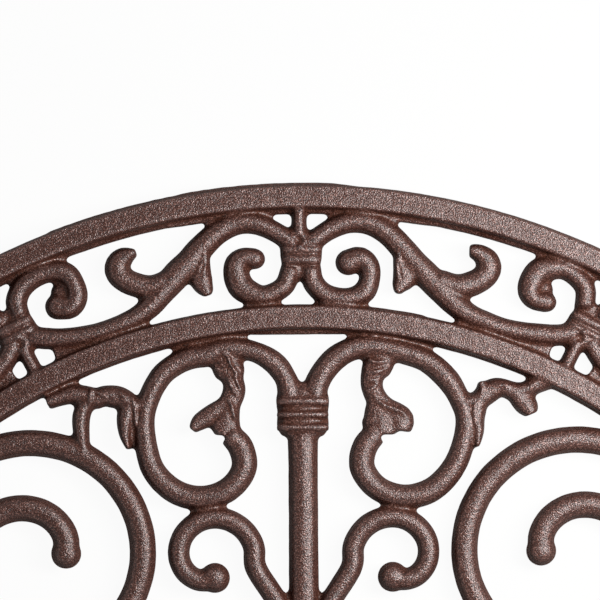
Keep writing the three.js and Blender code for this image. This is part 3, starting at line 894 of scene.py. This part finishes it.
    upper_volute: Spiral = Spiral(0.481, 0.63, 0.2244, 0.056, -14, 540, 5.4)
    lower_volute: Spiral = Spiral(0.811, 0.256, 0.183, 0.054, 165, 480, 5.4)
    heart_volute: Spiral = Spiral(0.246, 0.335, 0.207, 0.054, 180, -520, 5.4)
    foot_volute: Spiral = Spiral(0.483, 0.1345, 0.1315, 0.043, -90, -400, 5.2)
    bud_volute: Spiral = Spiral(0.166, 0.6335, 0.08, 0.036, 190, -290, 4.4)
    eye_radius: float = 6.4
    eye_rise: float = 0.6
    bead_sink: float = 2.6

    def build(self, body: Pattern, detail: Pattern) -> None:
        """Adds the whole panel.

        Args:
            body: The pattern whose inner corners are filled.
            detail: The pattern of fine ridges and dents.
        """
        for line in (self.trunk, self.lower_collar):
            body.bar(DRAWING.on_panel(1, line), Section.BAR)
        for up, reach, half, height in self.beads:
            line = bead(reach / DRAWING.panel_radius, up, half, height, self.bead_sink)
            detail.bar(DRAWING.on_panel(1, line), Section.VEIN, lift=DETAIL_LIFT)
        for side in (-1, 1):
            self.crown(body, detail, side)
            self.half(body, side)

    def crown(self, body: Pattern, detail: Pattern, side: int) -> None:
        """Adds one arm of the fork with its acanthus leaf and its branch.

        Args:
            body: The pattern whose inner corners are filled.
            detail: The pattern of fine ridges and dents.
            side: 1 for the right half and -1 for the left half.
        """
        right = side > 0
        for line, section in (
            ([*self.fork_arms[right], *self.fork_curl], Section.BAR), (self.branches[right], Section.BAR),
            (self.branch_spurs[right], Section.BAR), (self.acanthus[right], Section.LEAF),
            (self.acanthus_lobes[right], Section.LEAF), (self.branch_leaves[right], Section.BAR),
            (self.webs[right], Section.WEB), *([(self.lobe, Section.BAR)] if right else []),
        ):
            body.bar(DRAWING.on_panel(side, line), section)
        for line in (*self.acanthus_folds[right], *self.branch_veins[right]):
            detail.bar(DRAWING.on_panel(side, line), Section.VEIN, lift=DETAIL_LIFT)

    def half(self, pattern: Pattern, side: int) -> None:
        """Adds the scrolls and leaves of one half of the panel, below its crown.

        Args:
            pattern: The pattern that takes the bars.
            side: 1 for the right half and -1 for the left half.
        """
        for line in (self.side_leaf, self.foot_leaf, self.inner_leaf):
            pattern.bar(DRAWING.on_panel(side, line), Section.LEAF)
        spirals = (self.upper_volute, self.lower_volute, self.heart_volute, self.foot_volute, self.bud_volute)
        upper, lower, heart, foot, bud = lines = [spiral.line(side) for spiral in spirals]
        pattern.bar([*reversed(upper), *lower], Section.BAR)
        for lead, line in ((self.heart_lead, heart), (self.foot_lead, foot), (self.bud_lead, bud)):
            pattern.bar([*DRAWING.on_panel(side, lead), *line], Section.BAR)
        for line in lines:
            x, y, *_ = line[-1]
            pattern.boss(x, y, self.eye_radius, DRAWING.scroll_height + self.eye_rise)


def add_node(
    tree: bpy.types.NodeTree, kind: str, inputs: dict | tuple = (), **settings: object,
) -> bpy.types.Node:
    """Adds one node.

    Args:
        tree: The node tree.
        kind: The node's type.
        inputs: Values and sockets for its inputs, in order or by name or number.
        settings: Values for its properties.

    Returns:
        The new node.
    """
    made = tree.nodes.new(kind)
    for name, value in settings.items():
        setattr(made, name, value)
    for key, value in inputs.items() if isinstance(inputs, dict) else enumerate(inputs):
        if isinstance(value, bpy.types.NodeSocket):
            tree.links.new(value, made.inputs[key])
        else:
            made.inputs[key].default_value = value
    return made


def linear(hex_colour: str) -> tuple[float, float, float, float]:
    """The linear colour of an sRGB hex value."""
    parts = [int(hex_colour[i:i + 2], 16) / 255 for i in (1, 3, 5)]
    return (*(c / 12.92 if c <= 0.04045 else ((c + 0.055) / 1.055) ** 2.4 for c in parts), 1.0)


def new_material(name: str) -> tuple[bpy.types.Material, bpy.types.NodeTree]:
    """Starts a node material.

    Args:
        name: The material's name.

    Returns:
        The material and its empty tree.
    """
    material = bpy.data.materials.new(name)
    material.use_nodes = True
    material.node_tree.nodes.clear()
    return material, material.node_tree


@dataclass(frozen=True)
class CastIron:
    """Sand cast grey iron under thin rust brown paint: grainy, rubbed tops and smooth, redder hollows."""

    hollow: str = "#472619"
    flank: str = "#3f221a"
    rubbed: str = "#482b24"
    # Pale specks: partly worn grain tops, partly painted glints of the lamps on the sand grain.
    speck_and_glint: str = "#846158"
    # Dark pits: painted shade in the hollows between the sand grains.
    pit_shade_colour: str = "#1e0f0b"
    grain_mm: float = 0.62
    lump_mm: float = 3.2
    mottle_mm: float = 24.0
    relief_mm: float = 0.3
    lump_share: float = 0.8
    level: Range = (0.45, 0.85, 0, 1)
    edge: Range = (0.46, 0.7, 0, 1)
    deep: Range = (0.25, 0.5, 0, 1)
    open_sand: Range = (0.15, 0.4, 0.35, 0.7)
    edge_sand: float = 0.45
    slope: Range = (0, 1, 0.4, 1)
    dry: Range = (0.3, 0.7, 0.5, 1)
    # Grain values that take the pale specks (partly painted glints) and the dark pits (painted shade).
    specks_and_glints: Range = (0.54, 0.68, 0, 1)
    pit_shade: Range = (0.48, 0.34, 0, 0.85)
    depth: Range = (0.6, 1.1, 0.65, 1.35)
    worn: Range = (0.3, 0.7, 0.38, 0.25)
    dull: float = 0.6
    gleam: Range = (0, 1, 0.12, 0.4)
    top_gleam: float = 0.45
    metallic: float = 0.1

    def material(self) -> bpy.types.Material:
        """Builds the finish.

        Returns:
            The material.
        """
        material, tree = new_material("cast_iron_rust_brown_paint")
        place = add_node(tree, "ShaderNodeTexCoord").outputs["Object"]
        proud = add_node(tree, "ShaderNodeAttribute", attribute_name="rubbed").outputs["Fac"]
        normal = add_node(tree, "ShaderNodeNewGeometry").outputs["Normal"]
        upward = add_node(tree, "ShaderNodeSeparateXYZ", (normal,)).outputs["Z"]
        grain, lumps, mottle = (
            add_node(tree, "ShaderNodeTexNoise", {
                "Vector": place, "Scale": 1 / (size * MM), "Detail": detail, "Roughness": rough,
            }).outputs["Fac"]
            for size, detail, rough in (
                # Sand grain: the mould's sand prints grains of about half a millimetre on every face.
                (self.grain_mm, 1.5, 0.5),
                # Lumps: a broader unevenness under the grain, where the sand was less firmly rammed.
                (self.lump_mm, 2.0, 0.5),
                # Mottling: thin paint that dried redder in some places and greyer in others.
                (self.mottle_mm, 3.0, 0.6),
            )
        )
        level, edge, deep, sand, dry, specks_and_glints, pit_shade, worn = (
            add_node(tree, "ShaderNodeMapRange", (source, *values)).outputs[0]
            for source, values in (
                (upward, self.level), (proud, self.edge), (proud, self.deep), (proud, self.open_sand),
                (mottle, self.dry), (grain, self.specks_and_glints), (grain, self.pit_shade), (grain, self.worn),
            )
        )
        slope, gleam = (
            add_node(tree, "ShaderNodeMapRange", (level, *values)).outputs[0]
            for values in (self.slope, self.gleam)
        )
        top = add_node(tree, "ShaderNodeMath", (level, edge), operation="MULTIPLY").outputs[0]
        sand = add_node(tree, "ShaderNodeMath", (
            edge, self.edge_sand, sand,
        ), operation="MULTIPLY_ADD").outputs[0]
        sandy = add_node(tree, "ShaderNodeMath", (slope, sand), operation="MULTIPLY").outputs[0]
        drier = add_node(tree, "ShaderNodeMath", (top, dry), operation="MULTIPLY").outputs[0]
        # Pale specks, partly painted glints, on the sandy up-facing tops.
        speckled_and_glinting = add_node(tree, "ShaderNodeMath", (sandy, specks_and_glints), operation="MULTIPLY").outputs[0]
        # Colour: redder in the hollows, greyer on the rubbed tops, with pale specks on the highest grains,
        # partly worn grain tops and partly painted glints, and dark pits between them, which are painted
        # shade.
        colour = linear(self.hollow)
        for share, over in (
            (deep, self.flank), (drier, self.rubbed), (speckled_and_glinting, self.speck_and_glint), (pit_shade, self.pit_shade_colour),
        ):
            colour = add_node(tree, "ShaderNodeMix", {
                0: share, 6: colour, 7: linear(over),
            }, data_type="RGBA").outputs[2]
        # Relief: full on the tops, half drowned in paint on the flanks.
        rise = add_node(tree, "ShaderNodeMath", (
            lumps, self.lump_share, grain,
        ), operation="MULTIPLY_ADD").outputs[0]
        depth = add_node(tree, "ShaderNodeMapRange", (sandy, *self.depth)).outputs[0]
        height = add_node(tree, "ShaderNodeMath", (rise, depth), operation="MULTIPLY").outputs[0]
        bump = add_node(tree, "ShaderNodeBump", {
            "Height": height, "Strength": 1.0, "Distance": self.relief_mm * MM,
        }).outputs["Normal"]
        # Gleam: the walls keep the dull skin of the mould, the tops are worn smoother on their grains.
        rough = add_node(tree, "ShaderNodeMix", {0: level, 2: self.dull, 3: worn}).outputs[0]
        gleam = add_node(tree, "ShaderNodeMath", (
            top, self.top_gleam, gleam,
        ), operation="MULTIPLY_ADD").outputs[0]
        shader = add_node(tree, "ShaderNodeBsdfPrincipled", {
            "Base Color": colour, "Roughness": rough, "Metallic": self.metallic, "Specular IOR Level": gleam,
            "Normal": bump,
        })
        add_node(tree, "ShaderNodeOutputMaterial", {"Surface": shader.outputs["BSDF"]})
        return material


@dataclass(frozen=True)
class MouldedRubber:
    """Moulded black rubber: dull, with a faint bloom and a fine mould grain."""

    dark: str = "#1a1a1b"
    bloom: str = "#2f2f30"
    grain_mm: float = 0.5
    bloom_mm: float = 3.0
    relief_mm: float = 0.05
    relief_strength: float = 0.3
    rough: Range = (0, 1, 0.6, 0.85)

    def material(self) -> bpy.types.Material:
        """Builds the finish.

        Returns:
            The material.
        """
        material, tree = new_material("moulded_rubber")
        place = add_node(tree, "ShaderNodeTexCoord").outputs["Object"]
        # Grain: the fine texture of the mould. Bloom: a grey haze in soft patches.
        grain, cloud = (
            add_node(tree, "ShaderNodeTexNoise", {"Vector": place, "Scale": 1 / (size * MM)}).outputs["Fac"]
            for size in (self.grain_mm, self.bloom_mm)
        )
        colour = add_node(tree, "ShaderNodeMix", {
            0: cloud, 6: linear(self.dark), 7: linear(self.bloom),
        }, data_type="RGBA").outputs[2]
        rough = add_node(tree, "ShaderNodeMapRange", (cloud, *self.rough)).outputs[0]
        bump = add_node(tree, "ShaderNodeBump", {
            "Height": grain, "Strength": self.relief_strength, "Distance": self.relief_mm * MM,
        }).outputs["Normal"]
        shader = add_node(tree, "ShaderNodeBsdfPrincipled", {
            "Base Color": colour, "Roughness": rough, "Metallic": 0.0, "Normal": bump,
        })
        add_node(tree, "ShaderNodeOutputMaterial", {"Surface": shader.outputs["BSDF"]})
        return material


def evaluated_mesh(made: bpy.types.Object) -> bpy.types.Mesh:
    """A new mesh of an object with its modifiers applied."""
    return bpy.data.meshes.new_from_object(made.evaluated_get(bpy.context.evaluated_depsgraph_get()))


def coordinates(mesh: bpy.types.Mesh) -> np.ndarray:
    """Reads the vertices of a mesh.

    Args:
        mesh: The mesh.

    Returns:
        Their coordinates as rows.
    """
    values = np.empty(len(mesh.vertices) * 3, np.float32)
    mesh.vertices.foreach_get("co", values)
    return values.reshape(-1, 3)


def geometry_tree(name: str) -> bpy.types.NodeTree:
    """Starts a geometry node tree.

    Args:
        name: The tree's name.

    Returns:
        The tree, with its geometry input and output.
    """
    tree = bpy.data.node_groups.new(name, "GeometryNodeTree")
    for way in ("INPUT", "OUTPUT"):
        tree.interface.new_socket("Geometry", in_out=way, socket_type="NodeSocketGeometry")
    return tree


def in_use(sockets: Sequence[bpy.types.NodeSocket]) -> list[bpy.types.NodeSocket]:
    """The sockets that a node's settings leave in use."""
    return [socket for socket in sockets if socket.enabled]


def run_modifiers(made: bpy.types.Object, *stack: tuple[str, dict[str, object]]) -> None:
    """Puts an object through a stack of modifiers.

    Args:
        made: The object.
        stack: The modifiers' kinds with their settings.
    """
    for kind, settings in stack:
        modifier = made.modifiers.new(kind.lower(), kind)
        for key, value in settings.items():
            setattr(modifier, key, value)
    made.data = evaluated_mesh(made)
    made.modifiers.clear()


@dataclass
class Casting:
    """Melts the pattern into one skin with a casting's fillets, and divides it along the parting lines."""

    step: float = 1.4
    quick_step: float = 2.6
    voxel: float = 0.64
    quick_voxel: float = 1.6
    fillet: float = 0.4
    waviness: float = 0.12
    waviness_size: float = 7.0
    dented_above: float = 5.0
    average_rounds: int = 16
    average_factor: float = 0.8
    proudest: float = 0.8
    most_faces: int = 92000
    finish: CastIron = CastIron()

    def build(self, parts: list[FrameBars | ScrollBand | Panel]) -> list[bpy.types.Object]:
        """Builds every piece of the casting.

        Args:
            parts: The sub-assemblies that add themselves to the pattern.

        Returns:
            One finished object for each member.
        """
        step = self.step
        body, detail = Pattern(step=step), Pattern(step=step)
        for part in parts:
            part.build(body, detail)
        LOG.info("pattern is drawn")
        whole = self.melt(body, detail)
        self.mark_relief(whole)
        names = self.label(whole)
        pieces = self.divide(whole, names)
        material = self.finish.material()
        for piece in pieces:
            self.close(piece)
            piece.data.materials.clear()
            piece.data.materials.append(material)
            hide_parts(piece.name.removesuffix("_cast"))
            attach(piece, ROOT)
            mesh = piece.data
            LOG.info("%s: %d triangles", piece.name, len(mesh.loops) - 2 * len(mesh.polygons))
        return pieces

    def melt(self, body: Pattern, detail: Pattern) -> bpy.types.Object:
        """Joins the bars into one skin, fills the corners between them, adds detail and cast unevenness.

        Args:
            body: Bars whose inner corners are filled.
            detail: Fine ridges and dents that stay crisp.

        Returns:
            The skin.
        """
        dents = detail.dents
        whole = bpy.data.objects.new("casting", body.mesh())
        ridges = bpy.data.objects.new("detail", detail.mesh())
        for made in (whole, ridges):
            bpy.context.collection.objects.link(made)
        voxel = self.voxel
        remesh = ("REMESH", {"mode": "VOXEL", "voxel_size": voxel * MM})
        swell = ("DISPLACE", {"strength": self.fillet * MM, "mid_level": 0.0})
        shrink = ("DISPLACE", {"strength": -self.fillet * MM, "mid_level": 0.0})
        run_modifiers(whole, remesh, swell, remesh, shrink)
        bpy.ops.object.select_all(action="DESELECT")
        bpy.context.view_layer.objects.active = whole
        for made in (whole, ridges):
            made.select_set(True)
        bpy.ops.object.join()
        clouds = bpy.data.textures.new("unevenness", "CLOUDS")
        clouds.noise_scale = self.waviness_size * MM
        wave = ("DISPLACE", {
            "texture": clouds, "texture_coords": "LOCAL", "mid_level": 0.5,
            "strength": 2 * self.waviness * MM,
        })
        run_modifiers(whole, remesh, ("SMOOTH", {"factor": 0.5, "iterations": 1}), wave)
        self.dent(whole, dents)
        self.trim(whole)
        LOG.info("melted skin: %d faces", len(whole.data.polygons))
        return whole

    def dent(self, whole: bpy.types.Object, dents: list[Point]) -> None:
        """Presses round dimples into the top of the skin.

        Args:
            whole: The skin.
            dents: Each dimple's place on the drawing, radius and depth, in mm.
        """
        points = coordinates(whole.data)
        for x, y, radius, depth in dents:
            place = DRAWING.to_row @ Vector((x, y, 0))
            reach = np.hypot(points[:, 0] - place.x, points[:, 1] - place.y) / (radius * MM)
            inside = (reach < 1) & (points[:, 2] > place.z + self.dented_above * MM)
            points[inside, 2] -= depth * MM * (1 - reach[inside] ** 2) ** 2
        whole.data.vertices.foreach_set("co", points.ravel())
        whole.data.update()

    def trim(self, whole: bpy.types.Object) -> None:
        """Keeps the unevenness of the skin inside the CAD box.

        Args:
            whole: The skin.
        """
        corners = np.array([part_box(name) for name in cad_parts])
        points = np.clip(coordinates(whole.data), corners[:, 0].min(0), corners[:, 1].max(0))
        whole.data.vertices.foreach_set("co", points.ravel())
        whole.data.update()

    def mark_relief(self, whole: bpy.types.Object) -> None:
        """Keeps the skin's own normals as an attribute, and how far each point stands proud as another.

        Args:
            whole: The skin.
        """
        mesh = whole.data
        points = coordinates(mesh)
        smooth = whole.modifiers.new("average", "SMOOTH")
        smooth.iterations = self.average_rounds
        smooth.factor = self.average_factor
        averaged = evaluated_mesh(whole)
        whole.modifiers.clear()
        normals = np.empty(len(points) * 3, np.float32)
        mesh.vertex_normals.foreach_get("vector", normals)
        normals = normals.reshape(-1, 3)
        proud = ((points - coordinates(averaged)) * normals).sum(1) / (self.proudest * MM)
        proud = np.clip(proud * 0.5 + 0.5, 0, 1)
        bpy.data.meshes.remove(averaged)
        mesh.attributes.new("rubbed", "FLOAT", "POINT").data.foreach_set("value", proud)
        mesh.attributes.new("skin", "FLOAT_VECTOR", "POINT").data.foreach_set("vector", normals.ravel())

    def label(self, whole: bpy.types.Object) -> list[str]:
        """Gives each face the member whose CAD solid is nearest.

        Args:
            whole: The skin.

        Returns:
            The members' names, in the order of the faces' numbers.
        """
        names = [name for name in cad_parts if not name.startswith("rubber_foot")]
        gathered = bmesh.new()
        member = gathered.faces.layers.int.new("member")
        for number, name in enumerate(names):
            known = len(gathered.faces)
            gathered.from_mesh(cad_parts[name].data)
            gathered.faces.ensure_lookup_table()
            for face in gathered.faces[known:]:
                face[member] = number
        solids = bpy.data.meshes.new("solids")
        gathered.to_mesh(solids)
        gathered.free()
        guide = bpy.data.objects.new("solids", solids)
        tree = geometry_tree("nearest_member")
        skin = add_node(tree, "NodeGroupInput").outputs[0]
        cad = add_node(tree, "GeometryNodeObjectInfo", {"Object": guide}).outputs["Geometry"]
        value = add_node(tree, "GeometryNodeInputNamedAttribute", {"Name": "member"}, data_type="INT")
        nearest = add_node(tree, "GeometryNodeSampleNearestSurface", {"Mesh": cad}, data_type="INT")
        tree.links.new(in_use(value.outputs)[0], nearest.inputs["Value"])
        stored = add_node(tree, "GeometryNodeStoreNamedAttribute", {
            "Geometry": skin, "Name": "member", "Value": in_use(nearest.outputs)[0],
        }, data_type="INT", domain="FACE")
        add_node(tree, "NodeGroupOutput", {0: stored.outputs[0]})
        run_modifiers(whole, ("NODES", {"node_group": tree}))
        LOG.info("members are labelled")
        return names

    def divide(self, whole: bpy.types.Object, names: list[str]) -> list[bpy.types.Object]:
        """Separates the skin into one object for each member.

        Args:
            whole: The skin.
            names: The members' names, in the order of the faces' numbers.

        Returns:
            The members, with open ends where they were parted.
        """
        tree = geometry_tree("one_member")
        wanted = tree.interface.new_socket("Member", in_out="INPUT", socket_type="NodeSocketInt")
        given = add_node(tree, "NodeGroupInput")
        value = add_node(tree, "GeometryNodeInputNamedAttribute", {"Name": "member"}, data_type="INT")
        same = add_node(tree, "FunctionNodeCompare", data_type="INT", operation="EQUAL")
        first, second, *_ = in_use(same.inputs)
        tree.links.new(in_use(value.outputs)[0], first)
        tree.links.new(given.outputs["Member"], second)
        kept = add_node(tree, "GeometryNodeSeparateGeometry", {
            "Geometry": given.outputs["Geometry"], "Selection": same.outputs[0],
        }, domain="FACE")
        add_node(tree, "NodeGroupOutput", {0: kept.outputs["Selection"]})
        pieces = []
        for number, name in enumerate(names):
            piece = bpy.data.objects.new(f"{name}_cast", whole.data)
            bpy.context.collection.objects.link(piece)
            modifier = piece.modifiers.new("one_member", "NODES")
            modifier.node_group = tree
            modifier[wanted.identifier] = number
            piece.data = evaluated_mesh(piece)
            piece.modifiers.clear()
            piece.data.attributes.remove(piece.data.attributes["member"])
            pieces.append(piece)
        bpy.data.objects.remove(whole)
        LOG.info("members are divided")
        return pieces

    def close(self, piece: bpy.types.Object) -> None:
        """Closes a piece where it was parted, and gives it back the normals of the whole skin.

        Args:
            piece: The member.
        """
        part = bmesh.new()
        part.from_mesh(piece.data)
        bmesh.ops.holes_fill(part, edges=[edge for edge in part.edges if edge.is_boundary])
        for face in part.faces:
            face.smooth = True
            face.material_index = 0
        part.to_mesh(piece.data)
        part.free()
        if len(piece.data.polygons) > self.most_faces:
            share = self.most_faces / len(piece.data.polygons)
            run_modifiers(piece, ("DECIMATE", {"ratio": share}))
        mesh = piece.data
        normals = np.empty(len(mesh.vertices) * 3, np.float32)
        mesh.attributes["skin"].data.foreach_get("vector", normals)
        mesh.normals_split_custom_set_from_vertices(normals.reshape(-1, 3).tolist())
        mesh.attributes.remove(mesh.attributes["skin"])


@dataclass
class RubberFeet:
    """Rubber caps pushed on the stub pins."""

    edge: float = 0.7
    edge_segments: int = 4
    groove: float = 0.25
    groove_half: float = 0.4
    round_steps: int = 48
    sharp_degrees: float = 60.0
    tolerance: float = 0.01
    underside_normal: float = -0.9
    finish: MouldedRubber = MouldedRubber()

    def build(self, places: list[Point]) -> list[bpy.types.Object]:
        """Builds a cap for each pin.

        Args:
            places: The pins' places in mm, in the order of the CAD nodes.

        Returns:
            The finished caps.
        """
        material = self.finish.material()
        return [self.cap(number + 1, x, y, material) for number, (x, y) in enumerate(places)]

    def cap(self, number: int, x: float, y: float, material: bpy.types.Material) -> bpy.types.Object:
        """Turns one cap: a round moulding with a soft lower edge, a grip groove and a bore.

        Args:
            number: Number of the foot, from 1.
            x: Place of its pin in mm.
            y: Place of its pin in mm.
            material: The rubber.

        Returns:
            The finished cap.
        """
        radius = DRAWING.foot_diameter / 2
        low, high = -DRAWING.foot_height, -DRAWING.foot_gap
        bore = DRAWING.pin_diameter / 2 + DRAWING.pin_clearance
        roof = -DRAWING.foot_bore_depth
        middle, half = (low + high) / 2, self.groove_half
        profile = [
            (0, low), (radius, low), (radius, middle - half), (radius - self.groove, middle),
            (radius, middle + half), (radius, high), (bore, high), (bore, roof), (0, roof),
        ]
        part = bmesh.new()
        turn(part, x, y, profile, self.round_steps)
        bmesh.ops.recalc_face_normals(part, faces=part.faces)
        sharp = [
            edge for edge in part.edges
            if edge.calc_face_angle(0) > math.radians(self.sharp_degrees)
            and max(abs(corner.co.z - low) for corner in edge.verts) < self.tolerance
        ]
        bmesh.ops.bevel(
            part, geom=sharp, offset=self.edge, segments=self.edge_segments, affect="EDGES", profile=0.5,
            material=-1,
        )
        bmesh.ops.transform(part, matrix=DRAWING.to_row, verts=part.verts)
        for face in part.faces:
            face.smooth = face.normal.z > self.underside_normal
        mesh = bpy.data.meshes.new(f"rubber_cap_{number}")
        part.to_mesh(mesh)
        part.free()
        mesh.materials.append(material)
        made = bpy.data.objects.new(f"rubber_cap_{number}", mesh)
        bpy.context.collection.objects.link(made)
        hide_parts(f"rubber_foot_{number}")
        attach(made, ROOT)
        LOG.info("%s: %d faces", made.name, len(mesh.polygons))
        return made


@dataclass(frozen=True)
class Lamp:
    """A square soft lamp: its place and side in metres, and its power in watts."""

    name: str
    place: Point
    size: float
    power: float


@dataclass
class Studio:
    """A pale floor, soft light from the upper right and a camera above the mat, as in the photograph."""

    frame_width: float = 0.25
    aim: Point = (-0.00083, 0.1157, 0.012)
    distance: float = 1.7
    tilt: float = 3.0
    roll: float = -0.375
    sensor_width: float = 36.0
    clip: tuple[float, float] = (0.05, 50.0)
    lamps: tuple[Lamp, ...] = (
        Lamp("side", (0.45, 0.08, 0.45), 0.2, 2.8), Lamp("overhead", (0.23, 0.14, 0.45), 0.24, 3.2),
    )
    ambient: float = 0.08
    ceiling: Range = (0.3, 0.7, 1, 0.2)
    floor_half: float = 6.0
    paper: str = "#c4c3c0"
    shown_share: float = 0.95
    mirrored_share: float = 0.3

    def build(self) -> None:
        """Sets up floor, world, lights and camera."""
        self.camera()
        self.floor()
        self.world()
        for lamp in self.lamps:
            self.light(lamp)
        bpy.context.scene.view_settings.view_transform = "Standard"

    def camera(self) -> None:
        """Adds the camera, aimed at the part of the mat that the photograph shows."""
        data = bpy.data.cameras.new("camera")
        data.type = "PERSP"
        data.sensor_width = self.sensor_width
        data.lens = data.sensor_width * self.distance / self.frame_width
        data.clip_start, data.clip_end = self.clip
        camera = bpy.data.objects.new("camera", data)
        angle = math.radians(self.tilt)
        back = Vector((0, -math.sin(angle), math.cos(angle)))
        camera.location = Vector(self.aim) + back * self.distance
        camera.rotation_mode = "QUATERNION"
        roll = Quaternion((0, 0, 1), math.radians(self.roll))
        camera.rotation_quaternion = (-back).to_track_quat("-Z", "Y") @ roll
        bpy.context.collection.objects.link(camera)
        bpy.context.scene.camera = camera

    def floor(self) -> None:
        """Adds the floor, which camera and glossy rays see almost white, with the mat's soft shadow on it."""
        part = bmesh.new()
        bmesh.ops.create_grid(part, x_segments=1, y_segments=1, size=self.floor_half)
        mesh = bpy.data.meshes.new("floor")
        part.to_mesh(mesh)
        part.free()
        floor = bpy.data.objects.new("floor", mesh)
        bpy.context.collection.objects.link(floor)
        material, tree = new_material("white_paper_sweep")
        seen = add_node(tree, "ShaderNodeLightPath")
        mirror = (seen.outputs["Is Glossy Ray"], seen.outputs["Is Transmission Ray"])
        share = add_node(tree, "ShaderNodeMath", mirror, operation="MAXIMUM").outputs[0]
        share = add_node(tree, "ShaderNodeMath", (
            share, self.mirrored_share,
        ), operation="MULTIPLY").outputs[0]
        share = add_node(tree, "ShaderNodeMath", (
            seen.outputs["Is Camera Ray"], self.shown_share, share,
        ), operation="MULTIPLY_ADD").outputs[0]
        paper = add_node(tree, "ShaderNodeBsdfDiffuse", {"Color": linear(self.paper)}).outputs[0]
        glow = add_node(tree, "ShaderNodeEmission", {"Color": (1, 1, 1, 1), "Strength": 1.0}).outputs[0]
        mixed = add_node(tree, "ShaderNodeMixShader", (share, paper, glow)).outputs[0]
        add_node(tree, "ShaderNodeOutputMaterial", {"Surface": mixed})
        mesh.materials.append(material)

    def world(self) -> None:
        """Lights the scene evenly, with white walls for camera and glossy rays, and a dim ceiling."""
        world = bpy.data.worlds.new("studio")
        world.use_nodes = True
        tree = world.node_tree
        tree.nodes.clear()
        seen = add_node(tree, "ShaderNodeLightPath")
        shown = seen.outputs["Is Camera Ray"]
        for kind in ("Is Glossy Ray", "Is Transmission Ray"):
            shown = add_node(tree, "ShaderNodeMath", (
                shown, seen.outputs[kind],
            ), operation="MAXIMUM").outputs[0]
        place = add_node(tree, "ShaderNodeNewGeometry").outputs["Position"]
        upward = add_node(tree, "ShaderNodeSeparateXYZ", (place,)).outputs["Z"]
        room = add_node(tree, "ShaderNodeMapRange", (upward, *self.ceiling)).outputs[0]
        strength = add_node(tree, "ShaderNodeMix", {0: shown, 2: self.ambient, 3: room}).outputs[0]
        light = add_node(tree, "ShaderNodeBackground", ((1, 1, 1, 1), strength)).outputs[0]
        add_node(tree, "ShaderNodeOutputWorld", {"Surface": light})
        bpy.context.scene.world = world

    def light(self, lamp: Lamp) -> None:
        """Adds a lamp, aimed at the mat.

        Args:
            lamp: Its place, size and power.
        """
        data = bpy.data.lights.new(lamp.name, "AREA")
        data.size = lamp.size
        data.energy = lamp.power
        made = bpy.data.objects.new(lamp.name, data)
        made.location = lamp.place
        made.rotation_mode = "QUATERNION"
        made.rotation_quaternion = (Vector(self.aim) - Vector(lamp.place)).to_track_quat("-Z", "Y")
        made.visible_camera = False
        bpy.context.collection.objects.link(made)


def main() -> None:
    logging.basicConfig(level=logging.INFO, format="%(message)s")
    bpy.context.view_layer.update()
    Studio().build()
    bars = FrameBars()
    Casting().build([bars, ScrollBand(), Panel()])
    RubberFeet().build(bars.pins)


if __name__ == "__main__":
    main()
